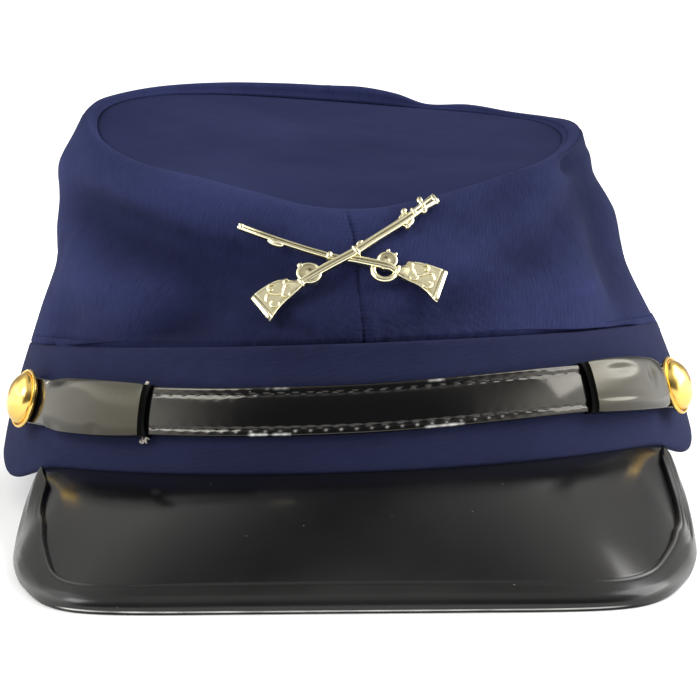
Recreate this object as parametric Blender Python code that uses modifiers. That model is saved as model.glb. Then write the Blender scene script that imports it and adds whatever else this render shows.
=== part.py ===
# A blue cloth forage cap: a crown that leans forward to a sunken round top, a band,
# a glossy black peak with a bound edge, a chin strap in two keepers, two buttons and a
# crossed-rifles badge.
#
# Lengths are in metres. Everything is modelled in the cap's own frame: the band's lower
# edge lies at z = 0, the front is at -Y and the wearer's left is at +X. An azimuth is
# measured from the front, towards +X. An empty then tilts the whole cap back, so that
# the edge of its peak and the back of its band stand on the ground at z = 0.

import math

import bmesh
import bpy
from mathutils import Matrix, Vector

MM = 0.001
GAP = 0.3 * MM  # clearance between pieces that touch or pass through each other

# Head band
HEAD_WIDTH = 187 * MM
HEAD_LENGTH = 199 * MM
BAND_HEIGHT = 29 * MM
BAND_WALL = 2.4 * MM
BAND_DRAW_SIDE = 8.4 * MM  # how far the upper edge is drawn in at each side
BAND_DRAW_FRONT = 5.0 * MM  # and at the front and the back
BAND_BULGE = 0.7 * MM
BAND_DIP = 4.2 * MM  # how far the lower edge hangs down beside the ends of the peak
BAND_DIP_AZIMUTH = math.radians(67)
BAND_DIP_SPREAD = math.radians(10)
BAND_EDGE_ROUND = 0.7 * MM

# Crown
CROWN_WALL = 1.6 * MM
CROWN_TUCK = 7.0 * MM  # how deep its lower hem reaches inside the band
CROWN_SETBACK = 1.3 * MM  # from the band's outer face, where the cloth comes out of the band
CROWN_TOP_WIDTH = 136.5 * MM  # across the crest of the rim
CROWN_TOP_LENGTH = 139 * MM
CROWN_TOP_BACK = 2.5 * MM  # the top's centre lies this far behind the band's
CROWN_TOP_ASIDE = -1.2 * MM  # and this far to the +X side
CROWN_HEIGHT = 81.9 * MM  # mean height of the seam round the top
CROWN_FALL = 18.4 * MM  # the top falls by this much to the front and rises as much behind
CROWN_LEAN = 4.0 * MM  # and by this much to the +X side
CROWN_SADDLE = 2.8 * MM
CROWN_TWIST = 1.5 * MM
FOLD_DEPTH = 4.0 * MM  # depth of the deepest fold

# Sunken round top
TOP_WALL = 1.6 * MM
TOP_SAG = 2.2 * MM
RIM_ROLL = 2.6 * MM  # from the crest of the rim to the seam inside it
RIM_DEPTH_BACK = 3.1 * MM
RIM_DEPTH_FRONT = 0.8 * MM

# Peak and its bound edge
PEAK_WALL = 1.2 * MM
PEAK_HALF_WIDTH = 79.4 * MM
PEAK_REACH = 32 * MM  # from the band's lower edge to the middle of the front edge
PEAK_ARCH = 2.2 * MM
PEAK_SKEW = -3.4 * MM  # the front edge lies off to one side
PEAK_ROOT_AZIMUTH = math.radians(57)
PEAK_SEAT_GAP = 0.5 * MM  # below the band, under which it is sewn in
BINDING_WIDTH = 5.0 * MM
BINDING_WALL = 0.8 * MM
BINDING_LINES = (0.0, 0.35 * BINDING_WIDTH, BINDING_WIDTH)  # distances in from the edge

# Chin strap
STRAP_WIDTH = 11.0 * MM
STRAP_WALL = 1.4 * MM
STRAP_END_AZIMUTH = math.radians(66)
STRAP_SETTLE_AZIMUTH = math.radians(16)  # over which it settles on the band past a keeper
KEEPER_WALL = 0.8 * MM
KEEPER_PUFF = 0.8 * MM
KEEPER_INNER_AZIMUTH = math.radians(35)
KEEPER_INNER_SHIFT = math.radians(2.75)  # the right keeper reaches further in, the left less
KEEPER_OUTER_AZIMUTH = math.radians(54.5)
STRAP_TIP = 0.93  # share of the strap's half length where its end begins to round off

# Buttons
BUTTON_RADIUS = 7.4 * MM
BUTTON_DOME = 3.6 * MM
BUTTON_RIM = 0.9 * MM
BUTTON_AZIMUTH = math.radians(61)
SHANK_RADIUS = 1.5 * MM
SHANK_SPARE = 1.5 * MM  # length of the shank beyond the band's inner face

# Badge
RIFLE_LENGTH = 48.5 * MM
RIFLE_BUTT = 9.0 * MM
RIFLE_DEPTH = 2.2 * MM
RIFLE_OVER = 0.5 * MM  # how far one rifle stands over the other where they cross
RIFLE_CROSS = math.radians(26)  # between each rifle and the badge's level line
BADGE_TURN = math.radians(5.5)
BADGE_UP = 0.57  # share of the crown's front face
BADGE_AZIMUTH = math.radians(-0.2)
LOCK_RADIUS = 2.5 * MM
GUARD_RADIUS = 2.5 * MM
GUARD_WIRE = 0.6 * MM
COLLAR_RADIUS = 1.9 * MM
COLLAR_LENGTH = 2.0 * MM
PIN_RADIUS = 1.0 * MM
PIN_LENGTH = 5.0 * MM

# How the cap stands
REST_PITCH = math.radians(6.3)  # front raised
REST_ROLL = math.radians(1.8)  # +X side raised
FOOT_DEPTH = 0.4 * MM  # how far its lowest edges are pressed flat

RING_STEPS = 60  # points round the band and the crown
PEAK_STEPS = 40  # from one end of the peak to the other
BINDING_STOP = 2  # the binding ends this many steps before each end of the peak
STRAP_STEPS = 48
KEEPER_STEPS = 10
BUTTON_STEPS = 20
RIFLE_SIDES = 8

# In the tables read by read_table, the first column is the place that a row stands for,
# and the others are read on a smooth curve between the rows.

# Height of the strap's middle: share of the strap's half length, share of the band's height
STRAP_ROUTE = (
    (-1.0, 0.53),
    (-0.5, 0.49),
    (0.0, 0.49),
    (0.45, 0.53),
    (0.75, 0.50),
    (1.0, 0.39),
)

# Crown's face: share of its height, share of the way in to the crest of the rim
CROWN_FACE = (
    (0.06, 0.00),
    (0.16, 0.10),
    (0.30, 0.24),
    (0.45, 0.39),
    (0.60, 0.52),
    (0.74, 0.64),
    (0.86, 0.74),
    (0.94, 0.83),
    (0.985, 0.93),
    (1.00, 1.00),
)

# Folds in the crown's face: azimuth in degrees, share of height, reach across in degrees,
# reach up as a share, slant in degrees for the whole height, and depth as a share of
# FOLD_DEPTH, which is below zero where the cloth stands out
CROWN_FOLDS = (
    (-38, 0.50, 13, 0.10, -95, 0.95),
    (-78, 0.80, 26, 0.16, 0, -0.30),
    (-58, 0.28, 18, 0.14, 0, -0.35),
    (-30, 0.10, 8, 0.07, 20, 0.30),
    (40, 0.42, 12, 0.22, 30, -0.35),
    (62, 0.55, 9, 0.26, 12, 0.75),
    (88, 0.40, 20, 0.18, 0, -0.25),
    (86, 0.78, 22, 0.14, 0, 0.45),
    (34, 0.93, 10, 0.09, 0, 0.40),
    (66, 0.97, 7, 0.07, 0, 0.55),
    (128, 0.50, 14, 0.30, -40, 0.80),
    (165, 0.30, 20, 0.16, 25, -0.50),
    (-128, 0.45, 15, 0.28, 35, 0.85),
    (-165, 0.66, 12, 0.20, -20, 0.55),
)

# Half of the peak's outline, from the middle of the front to the band: share of the
# way along, share of the half width, share of the way forward, share of the drop
PEAK_OUTLINE = (
    (0.00, 0.00, 1.000, 1.0),
    (0.18, 0.30, 1.000, 1.0),
    (0.36, 0.60, 0.995, 1.0),
    (0.46, 0.739, 0.965, 1.0),
    (0.55, 0.828, 0.891, 1.0),
    (0.64, 0.891, 0.774, 1.0),
    (0.74, 0.945, 0.623, 1.0),
    (0.85, 0.986, 0.396, 1.0),
    (0.93, 0.99, 0.200, 0.62),
    (1.00, 0.955, 0.000, 0.18),
)

# A rifle from its butt to its muzzle: share of its length, middle and half height as
# shares of the butt's height, half depth as a share of the rifle's depth
RIFLE_FORM = (
    (0.000, -0.16, 0.38, 0.34),
    (0.015, -0.15, 0.45, 0.50),
    (0.12, -0.10, 0.38, 0.52),
    (0.22, -0.03, 0.25, 0.50),
    (0.28, 0.01, 0.16, 0.46),
    (0.34, 0.02, 0.17, 0.50),
    (0.44, 0.00, 0.17, 0.50),
    (0.60, 0.00, 0.14, 0.44),
    (0.78, 0.00, 0.115, 0.38),
    (0.80, 0.00, 0.085, 0.30),
    (1.00, 0.00, 0.075, 0.26),
)
RIFLE_CROSSING = 0.46  # shares of the rifle's length, from the butt
LOCK_PLACE = 0.31
GUARD_PLACE = 0.33
COLLAR_PLACES = (0.62, 0.80, 0.93)
TRIM_ASIDE = 0.2  # share of the butt's height: how far lock and guard lie off the middle

# A keeper's section, up its outer face and down behind the strap: share of its half
# width, which face it lies on, and share of KEEPER_PUFF
KEEPER_SECTION = (
    (-1.0, "front", 0.0),
    (-1.0, "back", 0.0),
    (1.0, "back", 0.0),
    (1.0, "front", 0.0),
    (0.72, "front", 1.0),
    (0.0, "front", 1.3),
    (-0.72, "front", 1.0),
)

# The lower half of a button's outline, below its dome: share of BUTTON_RADIUS, share of
# BUTTON_RIM
BUTTON_BOWL = 0.86
BUTTON_FOOT = (
    (0.93, 1.25),
    (1.00, 0.70),
    (0.96, 0.00),
)


def read_table(rows, place):
    # Reads every column after the first at this place, on a smooth curve through the rows
    last = len(rows) - 1
    at = min(max(sum(row[0] <= place for row in rows) - 1, 0), last - 1)

    def slope(row, column):
        before = rows[max(row - 1, 0)]
        after = rows[min(row + 1, last)]
        return (after[column] - before[column]) / (after[0] - before[0])

    low, high = rows[at], rows[at + 1]
    span = high[0] - low[0]
    t = min(max((place - low[0]) / span, 0.0), 1.0)
    values = []
    for column in range(1, len(low)):
        start, end = low[column], high[column]
        lead, trail = slope(at, column) * span, slope(at + 1, column) * span
        values.append(
            (2 * t**3 - 3 * t**2 + 1) * start
            + (t**3 - 2 * t**2 + t) * lead
            + (3 * t**2 - 2 * t**3) * end
            + (t**3 - t**2) * trail
        )
    return values


def between(low, high, share):
    return low + (high - low) * share


def around(azimuth, half_width, half_length, height):
    return Vector((half_width * math.sin(azimuth), -half_length * math.cos(azimuth), height))


def turn_between(one, other):
    # The smallest turn from one azimuth to another, in -pi to pi
    return (one - other + math.pi) % (2 * math.pi) - math.pi


def ground_height(x, y):
    # Height of the ground under a point of the cap's own frame, see stand_on_ground
    lift = math.sin(REST_PITCH) * HEAD_LENGTH / 2
    level = (y * math.sin(REST_PITCH) - lift) / math.cos(REST_PITCH)
    return (level - x * math.sin(REST_ROLL)) / math.cos(REST_ROLL)


def band_point(azimuth, height, out=0.0):
    # A point of the band's outer face, or this far out from it
    share = height / BAND_HEIGHT
    bulge = BAND_BULGE * math.sin(math.pi * min(max(share, 0.0), 1.0))
    half_width = HEAD_WIDTH / 2 - BAND_DRAW_SIDE * share + bulge
    half_length = HEAD_LENGTH / 2 - BAND_DRAW_FRONT * share + bulge
    point = around(azimuth, half_width, half_length, height)
    if out:
        point += band_outward(azimuth) * out
    return point


def band_edge_drop(azimuth):
    near = abs(turn_between(azimuth, 0.0)) - BAND_DIP_AZIMUTH
    return BAND_DIP * math.exp(-((near / BAND_DIP_SPREAD) ** 2))


def band_outward(azimuth):
    ahead = band_point(azimuth + 0.01, 0.0) - band_point(azimuth - 0.01, 0.0)
    rise = band_point(azimuth, BAND_HEIGHT) - band_point(azimuth, 0.0)
    return ahead.cross(rise).normalized()


def seam_height(azimuth):
    return (
        CROWN_HEIGHT
        - CROWN_FALL * math.cos(azimuth)
        - CROWN_LEAN * math.sin(azimuth)
        - CROWN_SADDLE * math.cos(2 * azimuth)
        + CROWN_TWIST * math.sin(2 * azimuth)
    )


def crown_top_shift():
    return Vector((CROWN_TOP_ASIDE, CROWN_TOP_BACK, 0.0))


def rim_depth(azimuth):
    return between(RIM_DEPTH_FRONT, RIM_DEPTH_BACK, (1 - math.cos(azimuth)) / 2)


def rim_point(azimuth, inward, height):
    # A point of the rim, this far inside its crest
    half_width = CROWN_TOP_WIDTH / 2 - inward
    half_length = CROWN_TOP_LENGTH / 2 - inward
    return around(azimuth, half_width, half_length, height) + crown_top_shift()


def fold_depth(azimuth, share):
    depth = 0.0
    for middle, up, across, tall, slant, deep in CROWN_FOLDS:
        line = math.radians(middle + slant * (share - up))
        aside = turn_between(azimuth, line) / math.radians(across)
        above = (share - up) / tall
        if slant:
            above *= 0.45
        depth += deep * math.exp(-(aside**2) - above**2)
    return depth * FOLD_DEPTH


def crown_smooth(azimuth, share):
    # A point of the crown's outer face without its folds, from the band's upper edge to
    # the crest of the rim
    low = band_point(azimuth, BAND_HEIGHT, -CROWN_SETBACK)
    crest = rim_point(azimuth, 0.0, seam_height(azimuth) + rim_depth(azimuth))
    point = low.lerp(crest, read_table(CROWN_FACE, share)[0])
    point.z = between(low.z, crest.z, share)
    return point


def crown_point(azimuth, share):
    # The folds fade out at the band and at the crest
    fade = min(1.0, (1.0 - share) / 0.12 + 0.25) * min(1.0, share / 0.10)
    away = Vector((math.sin(azimuth), -math.cos(azimuth), 0.0))
    return crown_smooth(azimuth, share) - away * fold_depth(azimuth, share) * fade


def peak_outline(place):
    # A point of the peak's edge, for a place from -1 to 1
    across, forward, drop = read_table(PEAK_OUTLINE, abs(place))
    root_y = math.cos(PEAK_ROOT_AZIMUTH) * HEAD_LENGTH / 2
    x = math.copysign(across, place) * PEAK_HALF_WIDTH + PEAK_SKEW * forward
    y = -root_y - (HEAD_LENGTH / 2 + PEAK_REACH - root_y) * forward
    low = ground_height(x, y) + PEAK_WALL + GAP + BINDING_WALL - FOOT_DEPTH
    high = -band_edge_drop(PEAK_ROOT_AZIMUTH)
    return Vector((x, y, between(high, low, drop)))


def peak_root(place):
    # Under the inner face of the band, where the peak is sewn in
    azimuth = place * PEAK_ROOT_AZIMUTH
    root = band_point(azimuth, 0.0, -BAND_WALL)
    root.z = -band_edge_drop(azimuth) - PEAK_SEAT_GAP
    return root


def peak_point(place, share):
    # A point of the peak's upper face, from the band's underside to the peak's edge
    root, edge = peak_root(place), peak_outline(place)
    seat = min(1.2 * BAND_WALL / (edge - root).length, 0.8)
    free = max(0.0, share - seat) / (1 - seat)
    point = root.lerp(edge, share)
    point.z = between(root.z, edge.z, free) + PEAK_ARCH * math.sin(math.pi * free)
    return point


def peak_share(place, inward):
    # The share of the peak's depth that lies this far in from its edge
    edge = peak_outline(place)
    along = (peak_outline(place + 0.01) - peak_outline(place - 0.01)).normalized()
    depth = (peak_root(place) - edge).cross(along).length
    return 1 - min(inward / depth, 0.6)


def peak_normal(place, share):
    along = peak_point(place + 0.01, share) - peak_point(place - 0.01, share)
    inward = peak_point(place, share - 0.04) - peak_point(place, share)
    return along.cross(inward).normalized()


def strap_middle(azimuth):
    return read_table(STRAP_ROUTE, azimuth / STRAP_END_AZIMUTH)[0] * BAND_HEIGHT


def strap_stand(azimuth):
    # How far the strap stands off the band: the keepers' backs pass behind its ends
    near = (abs(azimuth) - KEEPER_INNER_AZIMUTH) / STRAP_SETTLE_AZIMUTH + 1
    share = min(max(near, 0.0), 1.0)
    return GAP + (KEEPER_WALL + GAP) * share**2 * (3 - 2 * share)


def strap_face(azimuth):
    # How far the strap's outer face stands off the band
    return strap_stand(azimuth) + STRAP_WALL


def paint(name, colour, roughness, metallic=0.0, coat=0.0):
    material = bpy.data.materials.new(name)
    material.use_nodes = True
    shader = material.node_tree.nodes["Principled BSDF"]
    shader.inputs["Base Color"].default_value = (*colour, 1.0)
    shader.inputs["Roughness"].default_value = roughness
    shader.inputs["Metallic"].default_value = metallic
    shader.inputs["Coat Weight"].default_value = coat
    material.diffuse_color = (*colour, 1.0)
    return material


def clear_scene():
    for item in list(bpy.data.objects):
        bpy.data.objects.remove(item, do_unlink=True)


def new_collection(name):
    collection = bpy.data.collections.new(name)
    bpy.context.scene.collection.children.link(collection)
    return collection


def grid_mesh(name, rows, closed=False, tip=None):
    # A surface through rows of points; tip closes the last row to one point
    count = len(rows[0])
    points = [tuple(point) for row in rows for point in row]
    steps = count if closed else count - 1
    faces = []
    for row in range(len(rows) - 1):
        for step in range(steps):
            near, far = row * count + step, row * count + (step + 1) % count
            faces.append((near, far, far + count, near + count))
    if tip is not None:
        points.append(tuple(tip))
        base = (len(rows) - 1) * count
        for step in range(steps):
            faces.append((base + step, base + (step + 1) % count, len(points) - 1))
    mesh = bpy.data.meshes.new(name)
    mesh.from_pydata(points, [], faces)
    mesh.update()
    return mesh


def place_piece(name, mesh, material, collection, pose):
    piece = bpy.data.objects.new(name, mesh)
    mesh.materials.append(material)
    collection.objects.link(piece)
    piece.parent = pose
    mesh.shade_smooth()
    mesh.set_sharp_from_angle(angle=math.radians(40))
    return piece


def thicken(piece, wall, outward=False):
    solidify = piece.modifiers.new("wall", "SOLIDIFY")
    solidify.thickness = wall
    solidify.offset = 1.0 if outward else -1.0
    solidify.use_even_offset = True
    solidify.use_quality_normals = True


def round_edges(piece, width):
    bevel = piece.modifiers.new("rounded edges", "BEVEL")
    bevel.width = width
    bevel.segments = 1
    bevel.limit_method = "ANGLE"
    bevel.angle_limit = math.radians(50)


def cut_with(piece, cutter):
    cut = piece.modifiers.new("cut by " + cutter.name, "BOOLEAN")
    cut.operation = "DIFFERENCE"
    cut.solver = "EXACT"
    cut.object = cutter


def as_cutter(cutter, cutters):
    for collection in list(cutter.users_collection):
        collection.objects.unlink(cutter)
    cutters.objects.link(cutter)
    cutter.hide_render = True
    cutter.display_type = "WIRE"
    return cutter


def hole_cutter(name, centre, axis, radius, length, cutters, pose):
    bpy.ops.mesh.primitive_cylinder_add(vertices=16, radius=radius, depth=length)
    cutter = bpy.context.object
    cutter.name = name
    cutter.parent = pose
    cutter.location = centre
    cutter.rotation_euler = axis.to_track_quat("Z", "Y").to_euler()
    return as_cutter(cutter, cutters)


def ground_cutter(cutters):
    size = 3 * max(HEAD_LENGTH, HEAD_WIDTH)
    bpy.ops.mesh.primitive_cube_add(size=size, location=(0, 0, -size / 2))
    cutter = bpy.context.object
    cutter.name = "ground_cut"
    return as_cutter(cutter, cutters)


def make_band(collection, pose, ground):
    rows = []
    for share in (0.0, 0.12, 0.5, 1.0):
        row = []
        for step in range(RING_STEPS):
            azimuth = 2 * math.pi * step / RING_STEPS
            drop = band_edge_drop(azimuth) * (1 - share) ** 2
            row.append(band_point(azimuth, BAND_HEIGHT * share - drop))
        rows.append(row)
    rows[0] = [point - Vector((0, 0, foot_at(point))) for point in rows[0]]
    cloth = paint("band cloth", (0.022, 0.026, 0.085), 0.9)
    band = place_piece("band", grid_mesh("band", rows, closed=True), cloth, collection, pose)
    thicken(band, BAND_WALL)
    round_edges(band, BAND_EDGE_ROUND)
    cut_with(band, ground)
    return band


def foot_at(point):
    # Lets the band's lower edge sink a little at the very back, where the ground flattens it
    return FOOT_DEPTH * math.exp(-(((point.y - HEAD_LENGTH / 2) / (HEAD_LENGTH / 8)) ** 2))


def make_crown_side(collection, pose):
    rows = []
    hem = BAND_HEIGHT - CROWN_TUCK
    for height in (hem, between(hem, BAND_HEIGHT, 0.5), BAND_HEIGHT + GAP):
        rows.append(ring(lambda azimuth: crown_hem(azimuth, height)))
    for share, _ in CROWN_FACE:
        rows.append(ring(lambda azimuth: crown_point(azimuth, share)))
    for inward, down in ((0.55, 0.22), (1.0, 1.0)):
        rows.append(ring(lambda azimuth: inside_rim(azimuth, inward, down)))
    cloth = paint("crown cloth", (0.022, 0.028, 0.105), 0.9)
    mesh = grid_mesh("crown_side", rows, closed=True)
    side = place_piece("crown_side", mesh, cloth, collection, pose)
    thicken(side, CROWN_WALL)
    return side


def ring(place_at):
    return [place_at(2 * math.pi * step / RING_STEPS) for step in range(RING_STEPS)]


def crown_hem(azimuth, height):
    point = band_point(azimuth, min(height, BAND_HEIGHT), -BAND_WALL - 2 * GAP)
    point.z = height
    return point


def inside_rim(azimuth, inward, down):
    height = seam_height(azimuth) + rim_depth(azimuth) * (1 - down)
    return rim_point(azimuth, RIM_ROLL * inward, height)


def make_crown_top(collection, pose):
    rows = []
    for share in (1.0, 0.93, 0.75, 0.5, 0.25):
        rows.append(ring(lambda azimuth: top_point(azimuth, share)))
    cloth = paint("top cloth", (0.026, 0.030, 0.095), 0.9)
    mesh = grid_mesh("crown_top", rows, closed=True, tip=top_point(0.0, 0.0))
    top = place_piece("crown_top", mesh, cloth, collection, pose)
    thicken(top, TOP_WALL)
    return top


def top_point(azimuth, share):
    # The cloth hangs like a skin on the seam: each wave of the seam dies away inwards
    height = CROWN_HEIGHT - TOP_SAG * (1 - share**2)
    height -= share * (CROWN_FALL * math.cos(azimuth) + CROWN_LEAN * math.sin(azimuth))
    height -= share**2 * CROWN_SADDLE * math.cos(2 * azimuth)
    height += share**2 * CROWN_TWIST * math.sin(2 * azimuth)
    half_width = (CROWN_TOP_WIDTH / 2 - RIM_ROLL - GAP) * share
    half_length = (CROWN_TOP_LENGTH / 2 - RIM_ROLL - GAP) * share
    return around(azimuth, half_width, half_length, height) + crown_top_shift()


def make_peak(collection, pose):
    columns = [between(-1, 1, step / PEAK_STEPS) for step in range(PEAK_STEPS + 1)]
    rows = []
    for inward in BINDING_LINES:
        rows.append([peak_point(place, peak_share(place, inward)) for place in columns])
    for part in (0.72, 0.48, 0.28, 0.14, 0.0):
        bound = [peak_share(place, BINDING_WIDTH) for place in columns]
        rows.append([peak_point(place, part * share) for place, share in zip(columns, bound)])
    vinyl = paint("peak vinyl", (0.012, 0.012, 0.012), 0.18, coat=1.0)
    peak = place_piece("peak", grid_mesh("peak", rows), vinyl, collection, pose)
    thicken(peak, PEAK_WALL)
    return peak


def make_binding(collection, pose, ground):
    # Its inner face clears the peak by GAP, from under the peak round its edge to the top
    steps = range(BINDING_STOP, PEAK_STEPS + 1 - BINDING_STOP)
    columns = [between(-1, 1, step / PEAK_STEPS) for step in steps]
    rows = []
    for over, lines in ((-1, reversed(BINDING_LINES)), (1, BINDING_LINES)):
        lift = GAP if over > 0 else -PEAK_WALL - GAP
        for inward in lines:
            row = []
            for place in columns:
                share = peak_share(place, inward)
                spot = peak_point(place, share)
                normal = peak_normal(place, share)
                if inward == 0.0:
                    along = peak_outline(place + 0.01) - peak_outline(place - 0.01)
                    spot -= normal.cross(along).normalized() * GAP
                row.append(spot + normal * lift)
            rows.append(row)
    vinyl = paint("binding vinyl", (0.010, 0.010, 0.010), 0.2, coat=1.0)
    mesh = grid_mesh("peak_binding", rows)
    binding = place_piece("peak_binding", mesh, vinyl, collection, pose)
    thicken(binding, BINDING_WALL, outward=True)
    cut_with(binding, ground)
    return binding


def make_strap(collection, pose):
    rows = []
    for side in (-1, 1):
        row = []
        for step in range(STRAP_STEPS + 1):
            share = between(-1, 1, step / STRAP_STEPS)
            azimuth = STRAP_END_AZIMUTH * share
            past = max(0.0, abs(share) - STRAP_TIP) / (1 - STRAP_TIP)
            taper = math.sqrt(1 - 0.9 * past**2)
            height = strap_middle(azimuth) + side * taper * STRAP_WIDTH / 2
            row.append(band_point(azimuth, height, strap_stand(azimuth)))
        rows.append(row)
    vinyl = paint("strap vinyl", (0.014, 0.014, 0.014), 0.22, coat=1.0)
    strap = place_piece("chin_strap", grid_mesh("chin_strap", rows), vinyl, collection, pose)
    thicken(strap, STRAP_WALL, outward=True)
    return strap


def make_keeper(name, side, collection, pose):
    # A sleeve round the strap: its inner faces clear the strap by GAP
    half = STRAP_WIDTH / 2 + GAP
    faces = {
        "back": strap_stand(KEEPER_OUTER_AZIMUTH) - GAP,
        "front": strap_face(KEEPER_OUTER_AZIMUTH) + GAP,
    }
    start, end = KEEPER_INNER_AZIMUTH + side * KEEPER_INNER_SHIFT, KEEPER_OUTER_AZIMUTH
    if side < 0:
        start, end = -end, -start
    rows = []
    for step in range(KEEPER_STEPS + 1):
        azimuth = between(start, end, step / KEEPER_STEPS)
        row = []
        for across, face, puff in KEEPER_SECTION:
            height = strap_middle(azimuth) + across * half
            row.append(band_point(azimuth, height, faces[face] + puff * KEEPER_PUFF))
        rows.append(row)
    vinyl = paint("keeper vinyl", (0.016, 0.016, 0.015), 0.2, coat=1.0)
    keeper = place_piece(name, grid_mesh(name, rows, closed=True), vinyl, collection, pose)
    thicken(keeper, KEEPER_WALL, outward=True)
    return keeper


def button_frame(side):
    azimuth = side * BUTTON_AZIMUTH
    seat = band_point(azimuth, strap_middle(azimuth), strap_face(azimuth) + GAP)
    return seat, band_outward(azimuth)


def make_button(name, side, collection, pose):
    seat, outward = button_frame(side)
    reach = strap_face(BUTTON_AZIMUTH) + GAP + BAND_WALL + SHANK_SPARE
    outline = [(0.0, BUTTON_RIM + BUTTON_DOME)]
    bowl = BUTTON_RADIUS * BUTTON_BOWL
    for degrees in (18, 36, 54, 72, 90):
        angle = math.radians(degrees)
        outline.append((bowl * math.sin(angle), BUTTON_RIM + BUTTON_DOME * math.cos(angle)))
    outline += [(BUTTON_RADIUS * out, BUTTON_RIM * up) for out, up in BUTTON_FOOT]
    outline += [(SHANK_RADIUS, 0.0), (SHANK_RADIUS, -reach), (0.0, -reach)]
    mesh = bpy.data.meshes.new(name)
    edges = [(step, step + 1) for step in range(len(outline) - 1)]
    mesh.from_pydata([(radius, 0.0, height) for radius, height in outline], edges, [])
    brass = paint(name.replace("_", " ") + " brass", (0.80, 0.52, 0.14), 0.25, metallic=1.0)
    button = place_piece(name, mesh, brass, collection, pose)
    turn = button.modifiers.new("turned", "SCREW")
    turn.steps = turn.render_steps = BUTTON_STEPS
    turn.use_merge_vertices = True
    turn.merge_threshold = 0.00001
    turn.use_smooth_shade = True
    button.location = seat
    button.rotation_euler = outward.to_track_quat("Z", "Y").to_euler()
    return button


def shank_hole(name, side, cutters, pose):
    seat, outward = button_frame(side)
    length = 4 * (strap_face(BUTTON_AZIMUTH) + BAND_WALL)
    return hole_cutter(name, seat, outward, SHANK_RADIUS + GAP, length, cutters, pose)


def badge_seat(across, up):
    # Where a spot of the flat badge lands on the crown's front face, and the way out of it
    face = (crown_smooth(BADGE_AZIMUTH, 0.8) - crown_smooth(BADGE_AZIMUTH, 0.2)).length / 0.6
    share = BADGE_UP + up / face
    half_width = crown_smooth(math.pi / 2, share).x
    azimuth = BADGE_AZIMUTH + math.asin(across / half_width)
    along = crown_smooth(azimuth + 0.01, share) - crown_smooth(azimuth - 0.01, share)
    rise = crown_smooth(azimuth, share + 0.02) - crown_smooth(azimuth, share - 0.02)
    return crown_smooth(azimuth, share), along.cross(rise).normalized()


def make_badge(collection, cutters, pose):
    forms = new_collection("badge_forms")
    for side in (-1, 1):
        add_rifle(side, forms)
    root = GAP + RIFLE_DEPTH / 2
    pin_middle = Matrix.Translation((0, 0, (root - PIN_LENGTH) / 2))
    add_form_cylinder("pin", PIN_RADIUS, PIN_LENGTH + root, pin_middle, forms)
    whole = bpy.data.objects.new("badge_whole", forms.objects[0].data.copy())
    cutters.objects.link(whole)
    for form in list(forms.objects)[1:]:
        join = whole.modifiers.new("join " + form.name, "BOOLEAN")
        join.operation = "UNION"
        join.solver = "EXACT"
        join.object = form
    bpy.context.view_layer.update()
    graph = bpy.context.evaluated_depsgraph_get()
    mesh = bpy.data.meshes.new_from_object(whole.evaluated_get(graph))
    for form in list(forms.objects) + [whole]:
        bpy.data.objects.remove(form, do_unlink=True)
    bpy.data.collections.remove(forms)
    middle = badge_seat(0.0, 0.0)[0]
    for vertex in mesh.vertices:
        seat, outward = badge_seat(vertex.co.x, vertex.co.y)
        vertex.co = seat + outward * vertex.co.z - middle
    mesh.name = "crossed_rifles_badge"
    mesh.materials.clear()
    metal = paint("badge metal", (0.78, 0.74, 0.58), 0.28, metallic=1.0)
    badge = place_piece("crossed_rifles_badge", mesh, metal, collection, pose)
    badge.location = middle
    return badge


def add_rifle(side, forms):
    # One rifle about the crossing, lying along a line that climbs towards its muzzle
    label = "left" if side < 0 else "right"
    climb = Matrix.Rotation(RIFLE_CROSS + side * BADGE_TURN, 4, "Z")
    mirror = Matrix.Scale(side, 4, (1, 0, 0))
    lift = GAP + RIFLE_DEPTH / 2 + (RIFLE_OVER if side > 0 else 0.0)
    place = Matrix.Translation((0, 0, lift)) @ mirror @ climb
    shift = Matrix.Translation((-RIFLE_LENGTH * RIFLE_CROSSING, 0, 0))
    rows = []
    for along, middle, tall, deep in RIFLE_FORM:
        row = []
        for step in range(RIFLE_SIDES):
            angle = 2 * math.pi * (step + 0.5) / RIFLE_SIDES
            y = RIFLE_BUTT * (middle + tall * math.cos(angle))
            z = RIFLE_DEPTH * deep * math.sin(angle)
            row.append(Vector((RIFLE_LENGTH * along, y, z)))
        rows.append(row)
    mesh = grid_mesh("rifle_" + label, rows, closed=True)
    finish_form("rifle_" + label, mesh, place @ shift, forms)
    lock = Vector((RIFLE_LENGTH * LOCK_PLACE, RIFLE_BUTT * TRIM_ASIDE, 0))
    add_form_ball("lock_" + label, LOCK_RADIUS, place @ shift @ lock, forms)
    guard = Vector((RIFLE_LENGTH * GUARD_PLACE, -RIFLE_BUTT * TRIM_ASIDE, 0))
    add_form_ring("guard_" + label, place @ shift @ guard, forms)
    for number, spot in enumerate(COLLAR_PLACES, 1):
        middle = Matrix.Translation(place @ shift @ Vector((RIFLE_LENGTH * spot, 0, 0)))
        flat = Matrix.Diagonal((1.0, 1.0, RIFLE_DEPTH / 2 / COLLAR_RADIUS, 1.0))
        along = (place.to_3x3() @ Vector((1, 0, 0))).to_track_quat("Z", "Y").to_matrix()
        name = "collar_" + label + str(number)
        matrix = middle @ flat @ along.to_4x4()
        add_form_cylinder(name, COLLAR_RADIUS, COLLAR_LENGTH, matrix, forms)


def finish_form(name, mesh, matrix, forms):
    shape = bmesh.new()
    shape.from_mesh(mesh)
    bmesh.ops.holes_fill(shape, edges=shape.edges)
    bmesh.ops.transform(shape, matrix=matrix, verts=shape.verts)
    bmesh.ops.recalc_face_normals(shape, faces=shape.faces)
    shape.to_mesh(mesh)
    shape.free()
    form = bpy.data.objects.new(name, mesh)
    forms.objects.link(form)


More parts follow.
